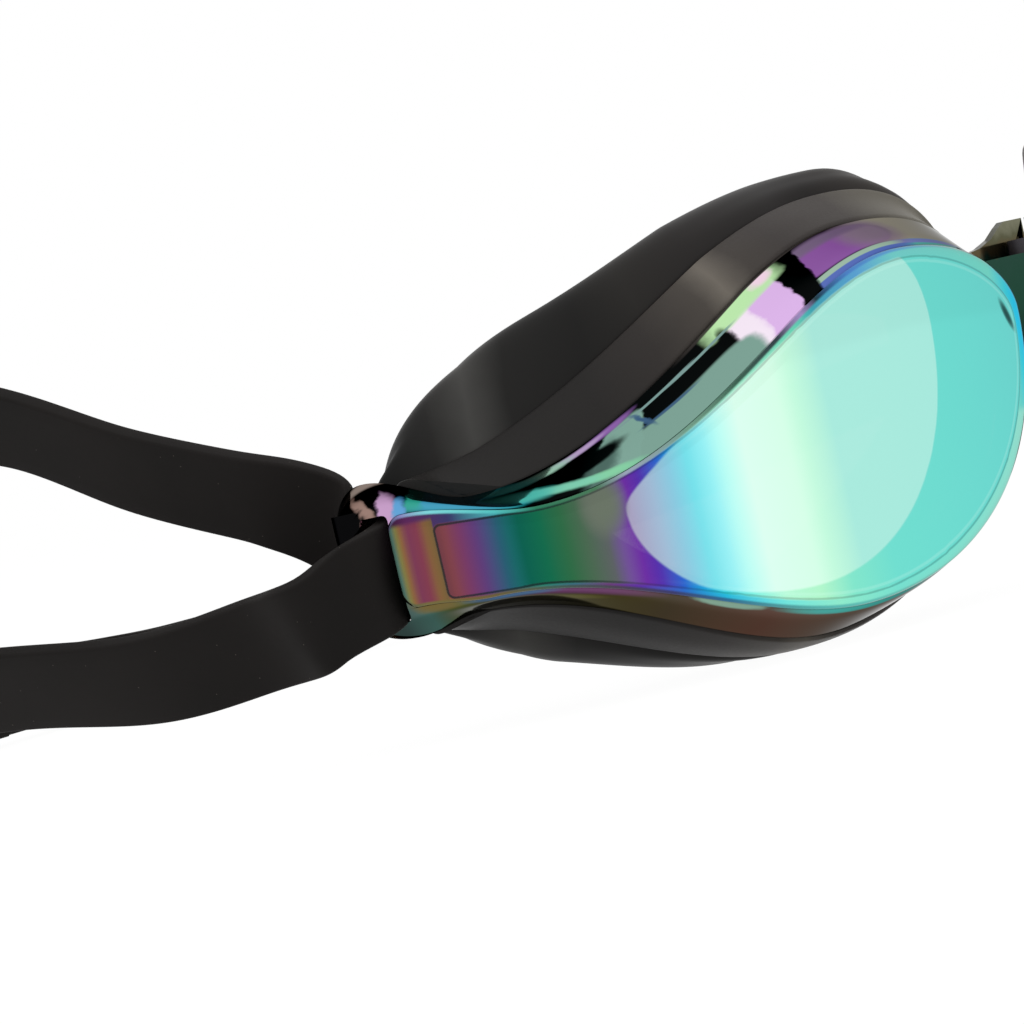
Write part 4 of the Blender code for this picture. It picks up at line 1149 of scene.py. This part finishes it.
def band_path(side, inner_y, outer_y):
    """Centre line of a band: outer tail, outer strand, bar, inner strand, inner tail."""
    outer_strand, inner_strand = STRANDS[side]
    centre = bend((BAR_AT, BAR_DEPTH, 0))
    heading = plan_point(BAR_AT)[2]
    along = Vector((-math.cos(heading), math.sin(heading), 0))
    inward = Vector((math.sin(heading), math.cos(heading), 0))

    def leaving(root, steps):
        """Points of a strand as it leaves the bar, from where it starts there."""
        return [(*(root + along * away + inward * aside)[:2], height, lean)
                for away, aside, height, lean in steps]

    outer = [(-STRAIGHT_HALF, outer_y, REAR_LEVEL, 0), *reversed(OUTER_REAR),
             *reversed(outer_strand)]
    outer += leaving(centre - inward * LOOP_RADIUS, reversed(OUTER_START))
    inner = leaving(centre + inward * LOOP_RADIUS, INNER_START)
    inner += [*inner_strand, *INNER_REAR_RUN, (-STRAIGHT_HALF, inner_y, REAR_LEVEL, 0)]
    height, lean = OUTER_START[0][2:]
    rise = INNER_START[0][2] - height
    loop = []
    for step in range(1, LOOP_STEPS):
        share = step / LOOP_STEPS
        point = centre - inward * LOOP_RADIUS * math.cos(math.pi * share)
        point -= along * LOOP_RADIUS * math.sin(math.pi * share)
        loop.append((point.x, point.y, height + rise * share, lean * (1 - share)))
    tails = [-STRAIGHT_HALF * (1 - k / TAIL_STEPS) + TAIL_END * k / TAIL_STEPS
             for k in range(1, TAIL_STEPS + 1)]
    outer_tail = [(x, outer_y, REAR_LEVEL, 0) for x in reversed(tails)]
    inner_tail = [(x, inner_y, REAR_LEVEL, 0) for x in tails]
    outer, inner = [curve_through(run, (16,) * len(run)) for run in (outer, inner)]
    return (evened(outer_tail + outer, OUTER_SMOOTHING) + loop
            + evened(inner + inner_tail, INNER_SMOOTHING))


def strap_section():
    """The band's cross-section, thickness by width, with rounded edges."""
    half, tall = STRAP_THICKNESS / 2 - STRAP_EDGE, STRAP_WIDTH / 2 - STRAP_EDGE
    corners = [arc((a * half, b * tall), STRAP_EDGE, turn, turn + 90, 4)
               for a, b, turn in ((1, 1, 0), (-1, 1, 90), (-1, -1, 180), (1, -1, 270))]
    points = []
    for i, corner in enumerate(corners):
        parts = 6 if i % 2 else 2
        (x, y), (to_x, to_y) = corner[-1], corners[(i + 1) % 4][0]
        points += corner + [(x + (to_x - x) * (k / parts), y + (to_y - y) * (k / parts))
                            for k in range(1, parts)]
    return points


def strap_band(name, side, inner_y, outer_y):
    """The band swept along its centre line, upright apart from its slope and lean."""
    path = band_path(side, inner_y, outer_y)
    section = strap_section()
    rows = []
    for i, (x, y, z, lean) in enumerate(path):
        before, after = path[max(i - 1, 0)], path[min(i + 1, len(path) - 1)]
        run = Vector((after[0] - before[0], after[1] - before[1], 0))
        run.z = max(-STEEPEST, min(STEEPEST, (after[2] - before[2]) / run.length)) * run.length
        run.normalize()
        flat = run.cross(Vector((0, 0, 1))).normalized()
        turn = Matrix.Rotation(math.radians(lean), 3, run)
        across, up = turn @ flat, turn @ flat.cross(run)
        rows.append([Vector((x, y, z)) + across * a + up * b for a, b in section])
    band = grid_piece(name, rows, wrap_columns=True)
    weld(capped=True)
    band.data.name = name
    return band


def strap_silicone(add):
    """Matt silicone: brown-black, no shine, with specks of dust and faint smears. The specks
    are drawn a little coarser than real dust, so that they show."""
    base = add("ValToRGB", (patches(add, 60.0, 4.0),), ((0.35, "181615"), (0.7, "1E1B1A")))
    cells = add("TexVoronoi", {"Vector": add("TexCoord").outputs["Object"],
                               "Scale": 1900.0}).outputs
    near = add("Math", (cells["Distance"], 0.10), operation="LESS_THAN")
    rare = add("Math", (add("SeparateColor", (cells["Color"],)), 0.93), operation="GREATER_THAN")
    speck = add("Math", (near, rare), operation="MULTIPLY")
    speck = add("Math", (speck, 0.18), operation="MULTIPLY")
    colour = add("Mix", {0: speck, 6: base, 7: "B8AEA4"}, **COLOURS)
    return add("BsdfPrincipled", {"Base Color": colour, "Roughness": 0.68,
                                  "Specular IOR Level": 0.12})


right_strap = strap_band("strap_band_right", "right", REAR_Y - 1.5 * LAYER, REAR_Y + 0.5 * LAYER)
blank = strap_band("strap_blank", "left", REAR_Y - 0.5 * LAYER, REAR_Y + 1.5 * LAYER)
left_strap = mirror_copy(blank, "strap_band_left")
bpy.data.objects.remove(blank, do_unlink=True)
strap_finish = (make_material("matt black strap silicone", strap_silicone),)
settle(right_strap, "right_strap", "strap_right", strap_finish)
settle(left_strap, "left_strap", "strap_left", strap_finish)


# ================================================================ adjuster
# A nylon keeper at the back holds the four ends one behind the other in a single channel, and
# friction sets the length. Ribs across it give the fingers a grip.

ADJUSTER_WIDTH = 0.0180
ADJUSTER_WALL = 0.0014
ADJUSTER_RIM = 0.0010
ADJUSTER_ROUND = 0.0006
CHANNEL = STRAP_WIDTH + 2 * GAP
CHANNEL_ROUND = 0.0003
GROOVES = 7
GROOVE_PITCH = 0.0022
GROOVE_HALF = 0.0004            # half a groove's width, and its depth
GROOVE_MARGIN = 0.0018          # from the groove's end to the keeper's edge
GROOVE_ROUND = 0.0002


def adjuster():
    """The keeper: a block with one flat channel, and grooves across its rear face."""
    depth = 2 * LAYER + GAP / 2
    rear = REAR_Y + depth + ADJUSTER_WALL
    half_height = CHANNEL / 2
    top = REAR_LEVEL + half_height + ADJUSTER_RIM
    half = ADJUSTER_WIDTH / 2
    body = block("keeper", (-half, REAR_Y - depth - ADJUSTER_WALL, REST_LEVEL),
                 (half, rear, top), ADJUSTER_ROUND)
    channel = block("channel", (-half - OVERCUT, REAR_Y - depth, REAR_LEVEL - half_height),
                    (half + OVERCUT, REAR_Y + depth, REAR_LEVEL + half_height), CHANNEL_ROUND)
    apply_boolean(body, channel, "DIFFERENCE")
    for k in range(GROOVES):
        x = (k - GROOVES // 2) * GROOVE_PITCH
        groove = block("groove", (x - GROOVE_HALF, rear - GROOVE_HALF, REST_LEVEL + GROOVE_MARGIN),
                       (x + GROOVE_HALF, rear + OVERCUT, top - GROOVE_MARGIN), GROOVE_ROUND)
        apply_boolean(body, groove, "DIFFERENCE")
    body.name = body.data.name = "keeper"
    return body


def moulded_nylon(add):
    """Moulded nylon: black, faintly mottled, with a low satin gloss."""
    cloud = patches(add, 700.0)
    colour = add("ValToRGB", (cloud,), ((0.35, "1B1B1D"), (0.65, "242427")))
    bump = add("Bump", {"Height": cloud, "Strength": 0.2, "Distance": 0.00004})
    return add("BsdfPrincipled", {"Base Color": colour, "Roughness": 0.4, "Normal": bump})


settle(adjuster(), "adjuster", "strap_adjuster",
       (make_material("moulded black nylon", moulded_nylon),))
